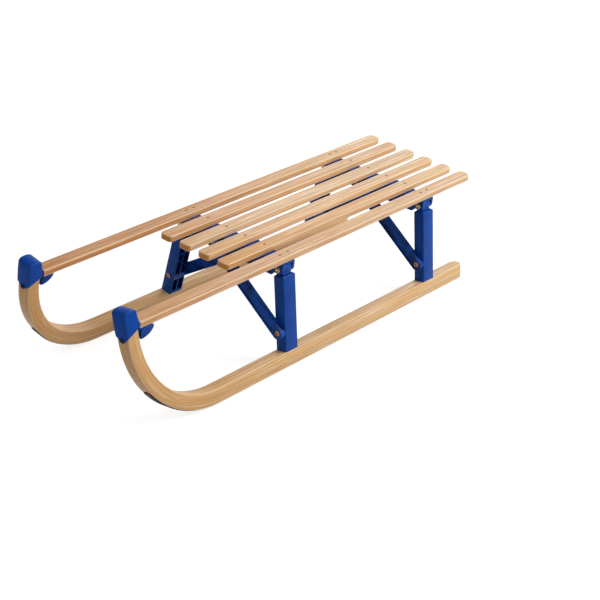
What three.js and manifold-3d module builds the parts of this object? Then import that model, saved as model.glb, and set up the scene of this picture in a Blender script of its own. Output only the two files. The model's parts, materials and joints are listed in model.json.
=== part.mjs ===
// Folding wooden sledge with laminated runners, six slats and two hinged trestles.
// Millimetres. +X points to the nose, +Y to the rider's left, +Z up. The origin is the
// bottom centre of the whole sledge, which stands open on its steel strips.
import * as THREE from "three";
import { mergeVertices } from "three/addons/utils/BufferGeometryUtils.js";
import Module from "manifold-3d";

const wasm = await Module();
wasm.setup();

// Clearances
const seatGap = 0.2; // between pieces that rest on one another
const runningGap = 0.3; // around pins and between faces that turn past one another
const cutOverrun = 4; // how far a cut runs past the surface it starts from

const roundSides = 18; // facets round a bar, a bore or a bolt head
const bendSides = 12; // facets along a runner's quarter bend

// Layout along the sledge, measured forward from the rear tips of the slats
const longSlatLength = 1056;
const shortSlatLength = 765;
const rearTrestleInset = 163;
const frontTrestleInset = 126.5; // from the front ends of the short slats
const heelInset = 30;
const slatToCapGap = 3.5;

// Folding geometry, the same in both trestles, seen along the sledge
const pivotHalfSpan = 134.5; // from the middle of the sledge to a leg's pivot
const pivotBelowSeat = 15; // from the underside of the slats to the leg's pivot
const hingeBelowPivot = 18.5; // from the leg's pivot down to the centre hinge
const legReach = 178.3; // from the leg's pivot to the top of the runner, along the leg
const strutBoltRise = 42.7; // from the top of the runner to the strut's lower bolt
const splay = THREE.MathUtils.degToRad(9.8);

const slat = {
  width: 30,
  thickness: 14,
  pitch: 51.7,
  tipRadius: 12,
  frontRadius: 8,
  edge: 2.2,
  screwSpread: 11.6, // from a trestle's middle to each screw of a long slat
  sinkRadius: 3.6,
  sinkDepth: 2.2,
  sinkFloorRadius: 1.8,
};

const runner = {
  width: 29,
  heelThickness: 32.5,
  noseThickness: 26.6,
  outerBendRise: 18.2, // from the leg's pivot up to where the quarter bend ends
  innerBendRise: 22.7,
  endAbovePivot: 30,
  edge: 2.2,
};

const strip = {
  width: 16,
  thickness: 2,
  heelSetback: 15,
  startAngle: THREE.MathUtils.degToRad(38), // below the level of the bend's centre
};

const cap = {
  width: 35,
  edge: 3.2,
  rearWall: 3.7,
  rearTopHeight: 55, // heights are above the pivot, along the runner
  rearTopSetback: 23.3, // setbacks are measured from the runner's front face
  shoulderSetback: 16,
  crownHeight: 59.2,
  crownSetback: 8,
  browHeight: 50,
  browProud: 7, // how far points stand out from the runner's front face
  faceHeight: 34,
  faceProud: 6.6,
  chinHeight: 4,
  chinProud: 2,
  rearLipHeight: 25.7,
  rearHemHeight: 18.7,
  tongueRadius: 6.4,
  tongueTaper: 3.2, // how far below the pivot the tongue's sides meet its round end
};

const shoe = { width: 26, length: 33, bossRadius: 6, nose: 0.4 };

const leg = {
  depth: 37.4, // along the sledge
  width: 25.8,
  topBelowPivot: 14,
  topEdge: 3.2,
  corner: 1.6,
  headDepth: 24.6,
  headRadius: 10.4,
  neckWidth: 14,
  wall: 3,
  rib: 2.8,
  outerWall: 4,
  bossHalf: 7,
  footPlate: 6,
  cellFillet: 1.2,
};

const beam = {
  depth: 37, // along the sledge
  wall: 3,
  topPlate: 3.5,
  rib: 2.6,
  ribCount: 4,
  earRadius: 11,
  forkInset: 17, // from the leg's pivot inwards to the bottom of the fork
  panelInset: 0.8,
  panelRim: 3.5,
  knuckleRadius: 8,
  knuckleWidth: 12,
  boltBoss: 8.5,
  endBevel: 1.8,
  endBevelHeight: 7,
};

const strut = {
  width: 25,
  depth: 12.5,
  flange: 2.6,
  web: 2.6,
  webInset: 6.6, // from the side that faces the trestle to the web
  bossLength: 14,
  headSink: 3.4,
  headSinkRadius: 7.4,
};

// Bolts of one pattern: a round head, a plain shank and a hexagonal nut
const pivotBolt = { radius: 3.5, headRadius: 6.4, headHeight: 3.6, nutFlats: 12, nutHeight: 5 };
const strutBolt = { radius: 3, headRadius: 5.6, headHeight: 2.8, nutFlats: 10, nutHeight: 4.4 };
const noseBolt = { radius: 3, headRadius: 4.6, headHeight: 2.2, gripInShoe: 14 };
const hingePin = { radius: 3 };

// Places that follow from the sizes above
const frontTrestleX = shortSlatLength - frontTrestleInset;
const noseInnerX = longSlatLength + slatToCapGap + cap.rearWall + seatGap;
const noseX = noseInnerX + runner.noseThickness;
const overallLength = noseX + cap.browProud;
const strutReach = legReach - strutBoltRise; // from the leg's pivot to the strut's lower bolt
const runnerSole = legReach + runner.heelThickness;
const outerBend = runnerSole + runner.outerBendRise;
const innerBend = legReach + runner.innerBendRise;
const stripSole = runnerSole + seatGap + strip.thickness;
const pivotHeight =
  stripSole * Math.cos(splay) + (strip.width / 2) * Math.sin(splay);
const strutPlane = leg.depth / 2 + seatGap;

// Finishes, one per kind of material
const finishes = {
  beech: { color: 0xd9ae80, roughness: 0.6, metalness: 0 },
  bluePlastic: { color: 0x1c3f9a, roughness: 0.42, metalness: 0 },
  darkSteel: { color: 0x2c2a27, roughness: 0.45, metalness: 0.9 },
  yellowZinc: { color: 0xb39a5a, roughness: 0.35, metalness: 0.9 },
};

// Solids and meshes

const axisX = new THREE.Vector3(1, 0, 0);
const axisY = new THREE.Vector3(0, 1, 0);
const axisZ = new THREE.Vector3(0, 0, 1);

// A closed geometry as a solid that can be joined and cut.
function solidOf(geometry) {
  const bare = geometry.clone();
  bare.deleteAttribute("normal");
  bare.deleteAttribute("uv");
  const merged = mergeVertices(bare, 1e-4);
  const corners = merged.index.array;
  const triVerts = [];
  for (let i = 0; i < corners.length; i += 3) {
    const [a, b, c] = [corners[i], corners[i + 1], corners[i + 2]];
    if (a !== b && b !== c && c !== a) triVerts.push(a, b, c);
  }
  return new wasm.Manifold(
    new wasm.Mesh({
      numProp: 3,
      vertProperties: Float32Array.from(merged.attributes.position.array),
      triVerts: Uint32Array.from(triVerts),
    }),
  );
}

function geometryOf(solid) {
  const mesh = solid.getMesh();
  const geometry = new THREE.BufferGeometry();
  geometry.setAttribute("position", new THREE.BufferAttribute(mesh.vertProperties, 3));
  geometry.setIndex(new THREE.BufferAttribute(mesh.triVerts, 1));
  const flat = geometry.toNonIndexed();
  flat.computeVertexNormals();
  return flat;
}

function meshOf(name, solid, finish) {
  const mesh = new THREE.Mesh(geometryOf(solid), new THREE.MeshStandardMaterial(finishes[finish]));
  mesh.name = name;
  return mesh;
}

// The union of several solids.
function join(...solids) {
  return solids.reduce((whole, piece) => whole.add(piece));
}

// A solid with several others taken out of it.
function cut(body, ...tools) {
  return tools.reduce((rest, tool) => rest.subtract(tool), body);
}

function moved(solid, x, y, z) {
  return solid.translate([x, y, z]);
}

// A shape extruded by depth with its middle on the shape's own plane. The edge value
// rounds the rims of both end faces in the given number of steps.
function extruded(shape, depth, edge = 0, steps = 1, curveSegments = 8) {
  const geometry = new THREE.ExtrudeGeometry(shape, {
    depth: depth - 2 * edge,
    bevelEnabled: edge > 0,
    bevelThickness: edge,
    bevelSize: edge,
    bevelOffset: -edge,
    bevelSegments: steps,
    curveSegments,
  });
  return geometry.translate(0, 0, edge - depth / 2);
}

// The three ways a profile stands: its own x and y run along the two named axes.
function onXZ(geometry) {
  const turn = new THREE.Matrix4().makeBasis(axisX, axisZ, axisY.clone().negate());
  return solidOf(geometry.applyMatrix4(turn));
}

function onYZ(geometry) {
  const turn = new THREE.Matrix4().makeBasis(axisY, axisZ, axisX);
  return solidOf(geometry.applyMatrix4(turn));
}

function onXY(geometry) {
  return solidOf(geometry);
}

// A block between two corners.
function block(x0, x1, y0, y1, z0, z1) {
  const geometry = new THREE.BoxGeometry(x1 - x0, y1 - y0, z1 - z0);
  return solidOf(geometry.translate((x0 + x1) / 2, (y0 + y1) / 2, (z0 + z1) / 2));
}

// A round bar along X between two places, through (y, z).
function barX(radius, x0, x1, y = 0, z = 0, sides = roundSides) {
  const geometry = new THREE.CylinderGeometry(radius, radius, x1 - x0, sides);
  geometry.rotateZ(-Math.PI / 2);
  return solidOf(geometry.translate((x0 + x1) / 2, y, z));
}

// A hexagonal bar along X, measured across its flats.
function hexX(flats, x0, x1, y = 0, z = 0) {
  const sides = 6;
  return barX(flats / 2 / Math.cos(Math.PI / sides), x0, x1, y, z, sides);
}

// A closed shape through a list of corners.
function polygon(points) {
  return new THREE.Shape(points.map(([x, y]) => new THREE.Vector2(x, y)));
}

// A rectangle with its four corners rounded.
function roundedRectangle(x0, x1, y0, y1, radius) {
  const shape = new THREE.Shape();
  shape.moveTo(x0 + radius, y0);
  shape.absarc(x1 - radius, y0 + radius, radius, -Math.PI / 2, 0);
  shape.absarc(x1 - radius, y1 - radius, radius, 0, Math.PI / 2);
  shape.absarc(x0 + radius, y1 - radius, radius, Math.PI / 2, Math.PI);
  shape.absarc(x0 + radius, y0 + radius, radius, Math.PI, 1.5 * Math.PI);
  return shape;
}

// Slats

// A slat from the rear tip at x = 0 to its front end, its underside at z = 0.
function slatSolid(length, frontRadius, screwPlaces) {
  const half = slat.width / 2;
  const plan = new THREE.Shape();
  plan.moveTo(slat.tipRadius, -half);
  if (frontRadius > 0) {
    plan.absarc(length - frontRadius, frontRadius - half, frontRadius, -Math.PI / 2, 0);
    plan.absarc(length - frontRadius, half - frontRadius, frontRadius, 0, Math.PI / 2);
  } else {
    plan.lineTo(length, -half);
    plan.lineTo(length, half);
  }
  plan.absarc(slat.tipRadius, half - slat.tipRadius, slat.tipRadius, Math.PI / 2, Math.PI);
  plan.absarc(slat.tipRadius, slat.tipRadius - half, slat.tipRadius, Math.PI, 1.5 * Math.PI);
  const board = onXY(extruded(plan, slat.thickness, slat.edge, 2, 3));
  const sinks = screwPlaces.map((x) => screwSink(x));
  return cut(moved(board, 0, 0, slat.thickness / 2), ...sinks);
}

// The countersink of one wood screw in a slat's top face.
function screwSink(x) {
  const slope = (slat.sinkRadius - slat.sinkFloorRadius) / slat.sinkDepth;
  const above = slat.sinkDepth;
  const rimRadius = slat.sinkRadius + slope * above;
  const cone = new THREE.CylinderGeometry(rimRadius, slat.sinkFloorRadius, slat.sinkDepth + above, 12);
  cone.rotateX(Math.PI / 2);
  const centre = slat.thickness - slat.sinkDepth + (slat.sinkDepth + above) / 2;
  return solidOf(cone.translate(x, 0, centre));
}

function shortSlatSolid() {
  return slatSolid(shortSlatLength, slat.frontRadius, [rearTrestleInset, frontTrestleX]);
}

function longSlatSolid() {
  const pairs = [rearTrestleInset, frontTrestleX].flatMap((x) => [
    x - slat.screwSpread,
    x + slat.screwSpread,
  ]);
  return slatSolid(longSlatLength, 0, pairs);
}

// Runners, strips and caps. Their frame starts at the leg pivots' axis: x forward along
// the sledge, z up along the splayed runner and y across it.

// The side outline of a runner: level sole, quarter bend and upright nose, thinning forward.
// The outline grows by the given amount on every side.
function runnerOutline(grow = 0) {
  const outerX = noseX - outerBend;
  const innerX = noseInnerX - innerBend;
  const shape = new THREE.Shape();
  const rear = heelInset - grow;
  const end = runner.endAbovePivot + grow;
  shape.moveTo(rear, grow - legReach);
  shape.lineTo(rear, -runnerSole - grow);
  shape.absarc(outerX, runner.outerBendRise, outerBend + grow, -Math.PI / 2, 0);
  shape.lineTo(noseX + grow, end);
  shape.lineTo(noseInnerX - grow, end);
  shape.absarc(innerX, runner.innerBendRise, innerBend - grow, 0, -Math.PI / 2, true);
  return shape;
}

// A plan that ends at the rear in a half round, long enough to reach past the nose.
function roundHeelPlan(width) {
  const half = width / 2;
  const plan = new THREE.Shape();
  plan.moveTo(overallLength, -half);
  plan.lineTo(overallLength, half);
  plan.absarc(heelInset + half, 0, half, Math.PI / 2, 1.5 * Math.PI);
  return plan;
}

function runnerSolid() {
  const band = onXZ(extruded(runnerOutline(), runner.width, runner.edge, 2, bendSides));
  const fullHeight = 2 * (runnerSole + cutOverrun);
  const heel = onXY(extruded(roundHeelPlan(runner.width + seatGap), fullHeight, 0, 1, 6));
  const bore = barX(noseBolt.radius + runningGap, noseInnerX - cutOverrun, noseX + cutOverrun);
  return cut(band.intersect(heel), bore);
}

// The bent steel strip under a runner, with a half-round front end.
function stripSolid() {
  const centreX = noseX - outerBend;
  const centreZ = runner.outerBendRise;
  const inner = outerBend + seatGap;
  const outer = inner + strip.thickness;
  const shape = new THREE.Shape();
  shape.moveTo(heelInset + strip.heelSetback, centreZ - inner);
  shape.lineTo(heelInset + strip.heelSetback, centreZ - outer);
  shape.absarc(centreX, centreZ, outer, -Math.PI / 2, -strip.startAngle);
  shape.absarc(centreX, centreZ, inner, -strip.startAngle, -Math.PI / 2, true);
  const band = onXZ(extruded(shape, strip.width, 0, 1, bendSides));
  return cut(band, moved(stripEndCutter(outer), centreX, 0, centreZ));
}

// What is cut away to round the strip's front end, about the bend's centre.
function stripEndCutter(outer) {
  const half = strip.width / 2;
  const plate = block(-half - cutOverrun, cutOverrun, -half - cutOverrun, half + cutOverrun, -outer, outer);
  const round = new THREE.CylinderGeometry(half, half, 3 * outer, 24).rotateX(Math.PI / 2);
  const corners = cut(plate, moved(solidOf(round), -half, 0, 0), behindRound(half, outer));
  const lowered = moved(corners, 0, 0, -outer);
  const turn = THREE.MathUtils.radToDeg(Math.PI / 2 - strip.startAngle);
  return lowered.rotate([0, -turn, 0]);
}

// The space behind the round end's centre, which keeps the strip's full width.
function behindRound(half, outer) {
  const back = -half - 2 * cutOverrun;
  return block(back, -half, -half - 2 * cutOverrun, half + 2 * cutOverrun, -2 * outer, 2 * outer);
}

// The side outline of a nose cap: a hood with a sloping hem, a gently curved face and a
// round crown.
function capOutline() {
  const rearX = noseInnerX - cap.rearWall;
  const crownX = noseX - cap.crownSetback;
  const shape = new THREE.Shape();
  shape.moveTo(rearX, cap.rearHemHeight);
  shape.lineTo(noseX + cap.chinProud, cap.chinHeight);
  shape.quadraticCurveTo(noseX + cap.faceProud, cap.faceHeight, noseX + cap.browProud, cap.browHeight);
  shape.quadraticCurveTo(noseX + cap.browProud, cap.crownHeight, crownX, cap.crownHeight);
  shape.quadraticCurveTo(
    noseX - cap.shoulderSetback,
    cap.crownHeight,
    noseX - cap.rearTopSetback,
    cap.rearTopHeight,
  );
  shape.lineTo(rearX, cap.rearLipHeight);
  return shape;
}

// The tongue under a cap's front, which narrows to a round end that the nose bolt passes
// through.
function capTongue() {
  const x0 = noseX + seatGap;
  const x1 = noseX + cap.chinProud;
  const root = cap.width / 2 - cap.edge;
  const tip = Math.sqrt(cap.tongueRadius ** 2 - cap.tongueTaper ** 2);
  const sides = polygon([
    [-root, cap.chinHeight],
    [-tip, -cap.tongueTaper],
    [tip, -cap.tongueTaper],
    [root, cap.chinHeight],
    [root, cap.rearHemHeight],
    [-root, cap.rearHemHeight],
  ]);
  const plate = moved(onYZ(extruded(sides, x1 - x0)), (x0 + x1) / 2, 0, 0);
  return join(barX(cap.tongueRadius, x0, x1), plate);
}

function capSolid() {
  const hood = onXZ(extruded(capOutline(), cap.width, cap.edge, 2, 6));
  const socket = onXZ(extruded(runnerOutline(seatGap), runner.width + 2 * seatGap, 0, 1, bendSides));
  const bore = barX(noseBolt.radius + runningGap, noseX - cutOverrun, overallLength + cutOverrun);
  const headSeat = barX(noseBolt.headRadius + runningGap, noseX + cap.chinProud, overallLength + cutOverrun);
  return cut(join(hood, capTongue()), socket, bore, headSeat);
}

// The half-moon shoe under a long slat's front end. Its frame is the seat's: z = 0 at the
// pivots' axis and the slat's underside at pivotBelowSeat.
function shoeSolid() {
  const front = longSlatLength - shoe.nose;
  const top = pivotBelowSeat - seatGap;
  const side = new THREE.Shape();
  side.moveTo(front, -shoe.bossRadius);
  side.lineTo(front, top);
  side.lineTo(front - shoe.length, top);
  side.absellipse(front, top, shoe.length, top + shoe.bossRadius, Math.PI, 1.5 * Math.PI, false, 0);
  const crescent = onXZ(extruded(side, shoe.width, 0, 1, 8));
  const bore = barX(noseBolt.radius + runningGap, front - noseBolt.gripInShoe - runningGap, front + cutOverrun);
  return cut(crescent, bore);
}

// Legs. The frame is the runner's, with x = 0 at the trestle's middle; inward is the sign
// of y on the side that faces the middle of the sledge.

// The front or side view of the shaft, chamfered along its top.
function shaftOutline(half) {
  const top = -leg.topBelowPivot;
  const bottom = seatGap - legReach;
  return polygon([
    [-half, bottom],
    [half, bottom],
    [half, top - leg.topEdge],
    [half - leg.topEdge, top],
    [leg.topEdge - half, top],
    [-half, top - leg.topEdge],
  ]);
}

function legShaft() {
  const halfDepth = leg.depth / 2;
  const halfWidth = leg.width / 2;
  const plan = roundedRectangle(-halfDepth, halfDepth, -halfWidth, halfWidth, leg.corner);
  const bar = onXY(extruded(plan, 2 * legReach, 0, 1, 2));
  const frontView = onYZ(extruded(shaftOutline(halfWidth), 2 * leg.depth));
  const sideView = onXZ(extruded(shaftOutline(halfDepth), 2 * leg.width));
  return bar.intersect(frontView).intersect(sideView);
}

// The neck and knuckle that stand on the shaft, between the beam's ears.
function legHead() {
  const end = leg.headDepth / 2;
  const half = leg.neckWidth / 2;
  const foot = -leg.topBelowPivot - leg.topEdge;
  const neck = block(-end, end, -half, half, foot, 0);
  return join(neck, barX(leg.headRadius, -end, end));
}

// The moulded cells in the inner face: two columns between walls, with a rib between them,
// and a solid block left where the strut's bolt passes.
function legCells(inward) {
  const top = -leg.topBelowPivot - leg.topEdge - leg.wall;
  const bossTop = -strutReach + leg.bossHalf;
  const bossBottom = -strutReach - leg.bossHalf;
  const bottom = leg.footPlate - legReach;
  const upperSplitShare = 0.5;
  const split = bossTop + (top - bossTop) * upperSplitShare;
  const spans = [
    [split + leg.rib / 2, top],
    [bossTop, split - leg.rib / 2],
    [bottom, bossBottom],
  ];
  const outer = leg.depth / 2 - leg.wall;
  const floor = -inward * (leg.width / 2 - leg.outerWall);
  const mouth = inward * (leg.width / 2 + cutOverrun);
  const cells = [];
  for (const side of [-1, 1]) {
    const [x0, x1] = side < 0 ? [-outer, -leg.rib / 2] : [leg.rib / 2, outer];
    for (const [z0, z1] of spans) {
      const face = roundedRectangle(x0, x1, z0, z1, leg.cellFillet);
      const depth = Math.abs(mouth - floor);
      cells.push(moved(onXZ(extruded(face, depth, 0, 1, 1)), 0, (mouth + floor) / 2, 0));
    }
  }
  return cells;
}

// The slanted ribs that cross the long upper cells.
function legBraces(inward) {
  const top = -leg.topBelowPivot - leg.topEdge - leg.wall;
  const bossTop = -strutReach + leg.bossHalf;
  const middle = (top + bossTop) / 2;
  const reach = leg.depth / 2 - leg.wall / 2;
  const lean = (middle - bossTop) / 2;
  const y0 = -inward * (leg.width / 2 - leg.outerWall / 2);
  const y1 = inward * (leg.width / 2 - leg.rib);
  const centre = (middle + bossTop) / 2;
  const slant = polygon([
    [-reach, centre - lean / 2 - leg.rib / 2],
    [reach, centre + lean / 2 - leg.rib / 2],
    [reach, centre + lean / 2 + leg.rib / 2],
    [-reach, centre - lean / 2 + leg.rib / 2],
  ]);
  const brace = onXZ(extruded(slant, Math.abs(y1 - y0)));
  return moved(brace, 0, (y0 + y1) / 2, 0);
}

function legSolid(inward) {
  const shell = cut(legShaft(), ...legCells(inward));
  const whole = join(shell, legBraces(inward), legHead());
  const end = leg.depth / 2 + cutOverrun;
  const pivotBore = barX(pivotBolt.radius + runningGap, -end, end);
  const strutBore = barX(strutBolt.radius + runningGap, -end, end, 0, -strutReach);
  return cut(whole, pivotBore, strutBore);
}

// Beam halves. The frame is the seat's: the leg's pivot at y = 0 with the middle of the
// sledge towards -y, and x = 0 at the trestle's middle. The other side is its mirror image.

const beamTop = pivotBelowSeat - seatGap;
const beamSole = -hingeBelowPivot + runningGap;
const beamEnd = -pivotHalfSpan + seatGap;
const strutHead = strutUpperPlace();

// How far the strut's upper bolt is from the middle, so that its length is the same
// open, with the legs splayed, and folded, with the beam halves in line above the legs.
function strutUpperPlace() {
  const openY = pivotHalfSpan + strutReach * Math.sin(splay);
  const foldedZ = pivotHalfSpan + strutReach;
  const openZ = strutReach * Math.cos(splay);
  const foldedY = 2 * hingeBelowPivot;
  const squares = foldedY ** 2 + foldedZ ** 2 - openY ** 2 - openZ ** 2;
  return squares / (2 * (openY + foldedZ));
}

// The front view of a beam half, from the centre hinge to the rounded ear.
function beamOutline() {
  const r = beam.earRadius;
  const shape = new THREE.Shape();
  shape.moveTo(beamEnd, beamSole);
  shape.lineTo(-beam.forkInset, beamSole);
  shape.absarc(0, 0, r, 1.25 * Math.PI, 2 * Math.PI);
  shape.lineTo(r, beamTop);
  shape.lineTo(beamEnd + beam.endBevel, beamTop);
  shape.lineTo(beamEnd, beamTop - beam.endBevelHeight);
  return shape;
}

// The hollow under the top plate, in bays between cross ribs.
function beamBays() {
  const start = beamEnd + beam.knuckleRadius + beam.wall;
  const end = -beam.forkInset - beam.wall;
  const bay = (end - start - (beam.ribCount - 1) * beam.rib) / beam.ribCount;
  const half = beam.depth / 2 - beam.wall;
  const bays = [];
  for (let i = 0; i < beam.ribCount; i += 1) {
    const y0 = start + i * (bay + beam.rib);
    bays.push(block(-half, half, y0, y0 + bay, -hingeBelowPivot - cutOverrun, beamTop - beam.topPlate));
  }
  return bays;
}

// The shallow panels moulded into the front and rear faces.
function beamPanels() {
  const y0 = beamEnd + beam.knuckleRadius + beam.panelRim;
  const y1 = -beam.forkInset;
  const face = polygon([
    [y0, beamSole + beam.panelRim],
    [y1, beamSole + beam.panelRim],
    [y1, beamTop - beam.panelRim],
    [y0, beamTop - beam.panelRim],
  ]);
  const depth = 2 * beam.panelInset;
  return [-1, 1].map((side) => moved(onYZ(extruded(face, depth)), (side * beam.depth) / 2, 0, 0));
}

// Where the knuckles of the centre hinge lie along the sledge: two outer ones on one
// half and one between them on the other.
function knuckleSpans(outerPair) {
  const end = beam.depth / 2;
  const inner = end - beam.knuckleWidth;
  if (outerPair) return [[-end, -inner], [inner, end]];
  return [[-inner + runningGap, inner - runningGap]];
}

function beamSolid(outerPair) {
  const half = beam.depth / 2;
  const hingeY = -pivotHalfSpan;
  const hingeZ = -hingeBelowPivot;
  const boltY = strutHead - pivotHalfSpan;
  const body = cut(onYZ(extruded(beamOutline(), beam.depth, 0, 1, 8)), ...beamBays(), ...beamPanels());
  const boltBoss = barX(beam.boltBoss, -half, half, boltY, 0);
  const knuckles = knuckleSpans(outerPair).map(([x0, x1]) => barX(beam.knuckleRadius, x0, x1, hingeY, hingeZ));
  const reliefs = knuckleSpans(!outerPair).map(([x0, x1]) =>
    barX(beam.knuckleRadius + runningGap, x0 - runningGap, x1 + runningGap, hingeY, hingeZ),
  );
  const fork = block(
    -leg.headDepth / 2 - runningGap,
    leg.headDepth / 2 + runningGap,
    -leg.headRadius - 2 * runningGap,
    beam.earRadius + cutOverrun,
    -hingeBelowPivot - cutOverrun,
    leg.headRadius + 2 * runningGap,
  );
  const end = half + cutOverrun;
  return cut(
    join(cut(body, ...reliefs), boltBoss, ...knuckles),
    fork,
    barX(pivotBolt.radius + seatGap, -end, end),
    barX(strutBolt.radius + seatGap, -end, end, boltY, 0),
    barX(hingePin.radius + runningGap, -end, end, hingeY, hingeZ),
  );
}

// Struts. The frame starts at the lower bolt: z up along the strut, and x = 0 on the side
// that lies against the trestle, growing outwards. toMiddle is the sign of y on the side
// that faces the other leg's pivot when the sledge is folded.

const strutOpenY = pivotHalfSpan + strutHead + strutReach * Math.sin(splay);
const strutOpenZ = strutReach * Math.cos(splay);
const strutLength = Math.hypot(strutOpenY, strutOpenZ);
const strutLean = Math.atan2(strutOpenY, strutOpenZ);

// Where the nut of the far leg's pivot lies beside a folded strut, in the strut's frame.
function foldedNutPlace() {
  const rise = strutReach + pivotHalfSpan - strutHead;
  const run = 2 * hingeBelowPivot;
  const lean = Math.atan2(run, rise);
  const y = run * Math.cos(lean) - strutReach * Math.sin(lean);
  const z = run * Math.sin(lean) + strutReach * Math.cos(lean);
  return { y, z };
}

function strutOutline(inset) {
  const r = strut.width / 2 - inset;
  const shape = new THREE.Shape();
  shape.absarc(0, strutLength, r, 0, Math.PI);
  shape.absarc(0, 0, r, Math.PI, 2 * Math.PI);
  return shape;
}

// The lengthwise channels on both sides of the web.
function strutChannels() {
  const half = strut.width / 2 - strut.flange;
  const channel = (x0, x1) => block(x0, x1, -half, half, strut.bossLength, strutLength - strut.bossLength);
  return [
    channel(-cutOverrun, strut.webInset),
    channel(strut.webInset + strut.web, strut.depth + cutOverrun),
  ];
}

function strutSolid(toMiddle) {
  const bar = moved(onYZ(extruded(strutOutline(0), strut.depth, 0, 1, 8)), strut.depth / 2, 0, 0);
  const nut = foldedNutPlace();
  const nutRoom = pivotBolt.nutFlats / 2 + cutOverrun;
  const edge = toMiddle * strut.width;
  const notch = block(
    -cutOverrun,
    strut.webInset,
    Math.min(0, edge),
    Math.max(0, edge),
    nut.z - nutRoom,
    nut.z + nutRoom,
  );
  const sinks = [0, strutLength].flatMap((z) => [
    barX(strutBolt.radius + runningGap, -cutOverrun, strut.depth + cutOverrun, 0, z),
    barX(strut.headSinkRadius, strut.depth - strut.headSink, strut.depth + cutOverrun, 0, z),
  ]);
  return cut(bar, ...strutChannels(), notch, ...sinks);
}

// Bolts, nuts and pins, along x

function domedHead(bolt, x, direction) {
  const profile = new THREE.Shape();
  profile.moveTo(0, 0);
  profile.lineTo(bolt.headRadius, 0);
  profile.lineTo(bolt.headRadius, bolt.headHeight / 2);
  profile.quadraticCurveTo(bolt.headRadius, bolt.headHeight, 0, bolt.headHeight);
  const dome = new THREE.LatheGeometry(profile.getPoints(3), roundSides);
  dome.rotateZ((-direction * Math.PI) / 2);
  return solidOf(dome.translate(x, 0, 0));
}

// A shank from x0 to x1 with a domed head beyond x0, on the side away from x1.
function headedBolt(bolt, x0, x1) {
  const direction = x0 > x1 ? 1 : -1;
  const shank = barX(bolt.radius, Math.min(x0, x1), Math.max(x0, x1));
  return join(shank, domedHead(bolt, x0, direction));
}

// A nut on a shank that ends level with the nut's outer face.
function nutSolid(bolt, x0, x1) {
  return cut(hexX(bolt.nutFlats, x0, x1), barX(bolt.radius + seatGap, x0 - cutOverrun, x1 + cutOverrun));
}

// Building up the sledge

const sledge = new THREE.Group();
sledge.name = "folding_sledge";

function place(group, mesh, x = 0, y = 0, z = 0) {
  mesh.position.set(x, y, z);
  group.add(mesh);
}

// The runner frame of one side, splayed about the pivots' axis.
function buildRunnerFrame(side, word) {
  const frame = new THREE.Group();
  frame.position.set(-overallLength / 2, side * pivotHalfSpan, pivotHeight);
  frame.rotation.x = side * splay;
  place(frame, meshOf(`runner_${word}`, runnerSolid(), "beech"));
  place(frame, meshOf(`runner_strip_${word}`, stripSolid(), "darkSteel"));
  place(frame, meshOf(`nose_cap_${word}`, capSolid(), "bluePlastic"));
  const boltEnd = longSlatLength - shoe.nose - noseBolt.gripInShoe;
  const noseBoltSolid = headedBolt(noseBolt, noseX + cap.chinProud + seatGap, boltEnd);
  place(frame, meshOf(`nose_bolt_${word}`, noseBoltSolid, "yellowZinc"));
  for (const [end, x] of [["front", frontTrestleX], ["rear", rearTrestleInset]]) {
    place(frame, meshOf(`leg_${end}_${word}`, legSolid(-side), "bluePlastic"), x);
    buildStrutBolt(frame, side, `${end}_${word}`, x);
  }
  return frame;
}

// The bolt and nut that hold a strut's lower end to its leg. The left leg's strut lies on
// the nose side of the trestle and the right leg's on the rear side.
function buildStrutBolt(frame, side, words, x) {
  const headSeat = side * (strutPlane + strut.depth - strut.headSink + seatGap);
  const nutInner = -side * (leg.depth / 2 + seatGap);
  const nutOuter = nutInner - side * strutBolt.nutHeight;
  const bolt = headedBolt(strutBolt, headSeat, nutOuter);
  const nut = nutSolid(strutBolt, Math.min(nutInner, nutOuter), Math.max(nutInner, nutOuter));
  place(frame, meshOf(`strut_bolt_${words}`, bolt, "yellowZinc"), x, 0, -strutReach);
  place(frame, meshOf(`strut_nut_${words}`, nut, "yellowZinc"), x, 0, -strutReach);
}

// The seat half of one side: three slats, a shoe and two beam halves with their bolts.
function buildSeatHalf(side, word) {
  const seat = new THREE.Group();
  seat.position.set(-overallLength / 2, 0, pivotHeight);
  const slatNames = ["inner_slat", "outer_slat"];
  slatNames.forEach((name, i) => {
    const y = side * (i + 0.5) * slat.pitch;
    place(seat, meshOf(`${name}_${word}`, shortSlatSolid(), "beech"), 0, y, pivotBelowSeat);
  });
  const longY = side * 2.5 * slat.pitch;
  place(seat, meshOf(`long_slat_${word}`, longSlatSolid(), "beech"), 0, longY, pivotBelowSeat);
  place(seat, meshOf(`pivot_shoe_${word}`, shoeSolid(), "bluePlastic"), 0, side * pivotHalfSpan, 0);
  for (const [end, x] of [["front", frontTrestleX], ["rear", rearTrestleInset]]) {
    const words = `${end}_${word}`;
    const half = side > 0 ? beamSolid(true) : beamSolid(false).mirror([0, 1, 0]);
    place(seat, meshOf(`beam_${words}`, half, "bluePlastic"), x, side * pivotHalfSpan, 0);
    buildPivotBolt(seat, words, x, side * pivotHalfSpan);
    buildStrutStud(seat, side, words, x);
  }
  return seat;
}

// The bolt and nut of a leg's pivot, its head on the rear ear and its nut on the front one.
function buildPivotBolt(seat, words, x, y) {
  const face = beam.depth / 2 + seatGap;
  const bolt = headedBolt(pivotBolt, -face, face + pivotBolt.nutHeight);
  const nut = nutSolid(pivotBolt, face, face + pivotBolt.nutHeight);
  place(seat, meshOf(`pivot_bolt_${words}`, bolt, "yellowZinc"), x, y, 0);
  place(seat, meshOf(`pivot_nut_${words}`, nut, "yellowZinc"), x, y, 0);
}

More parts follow.
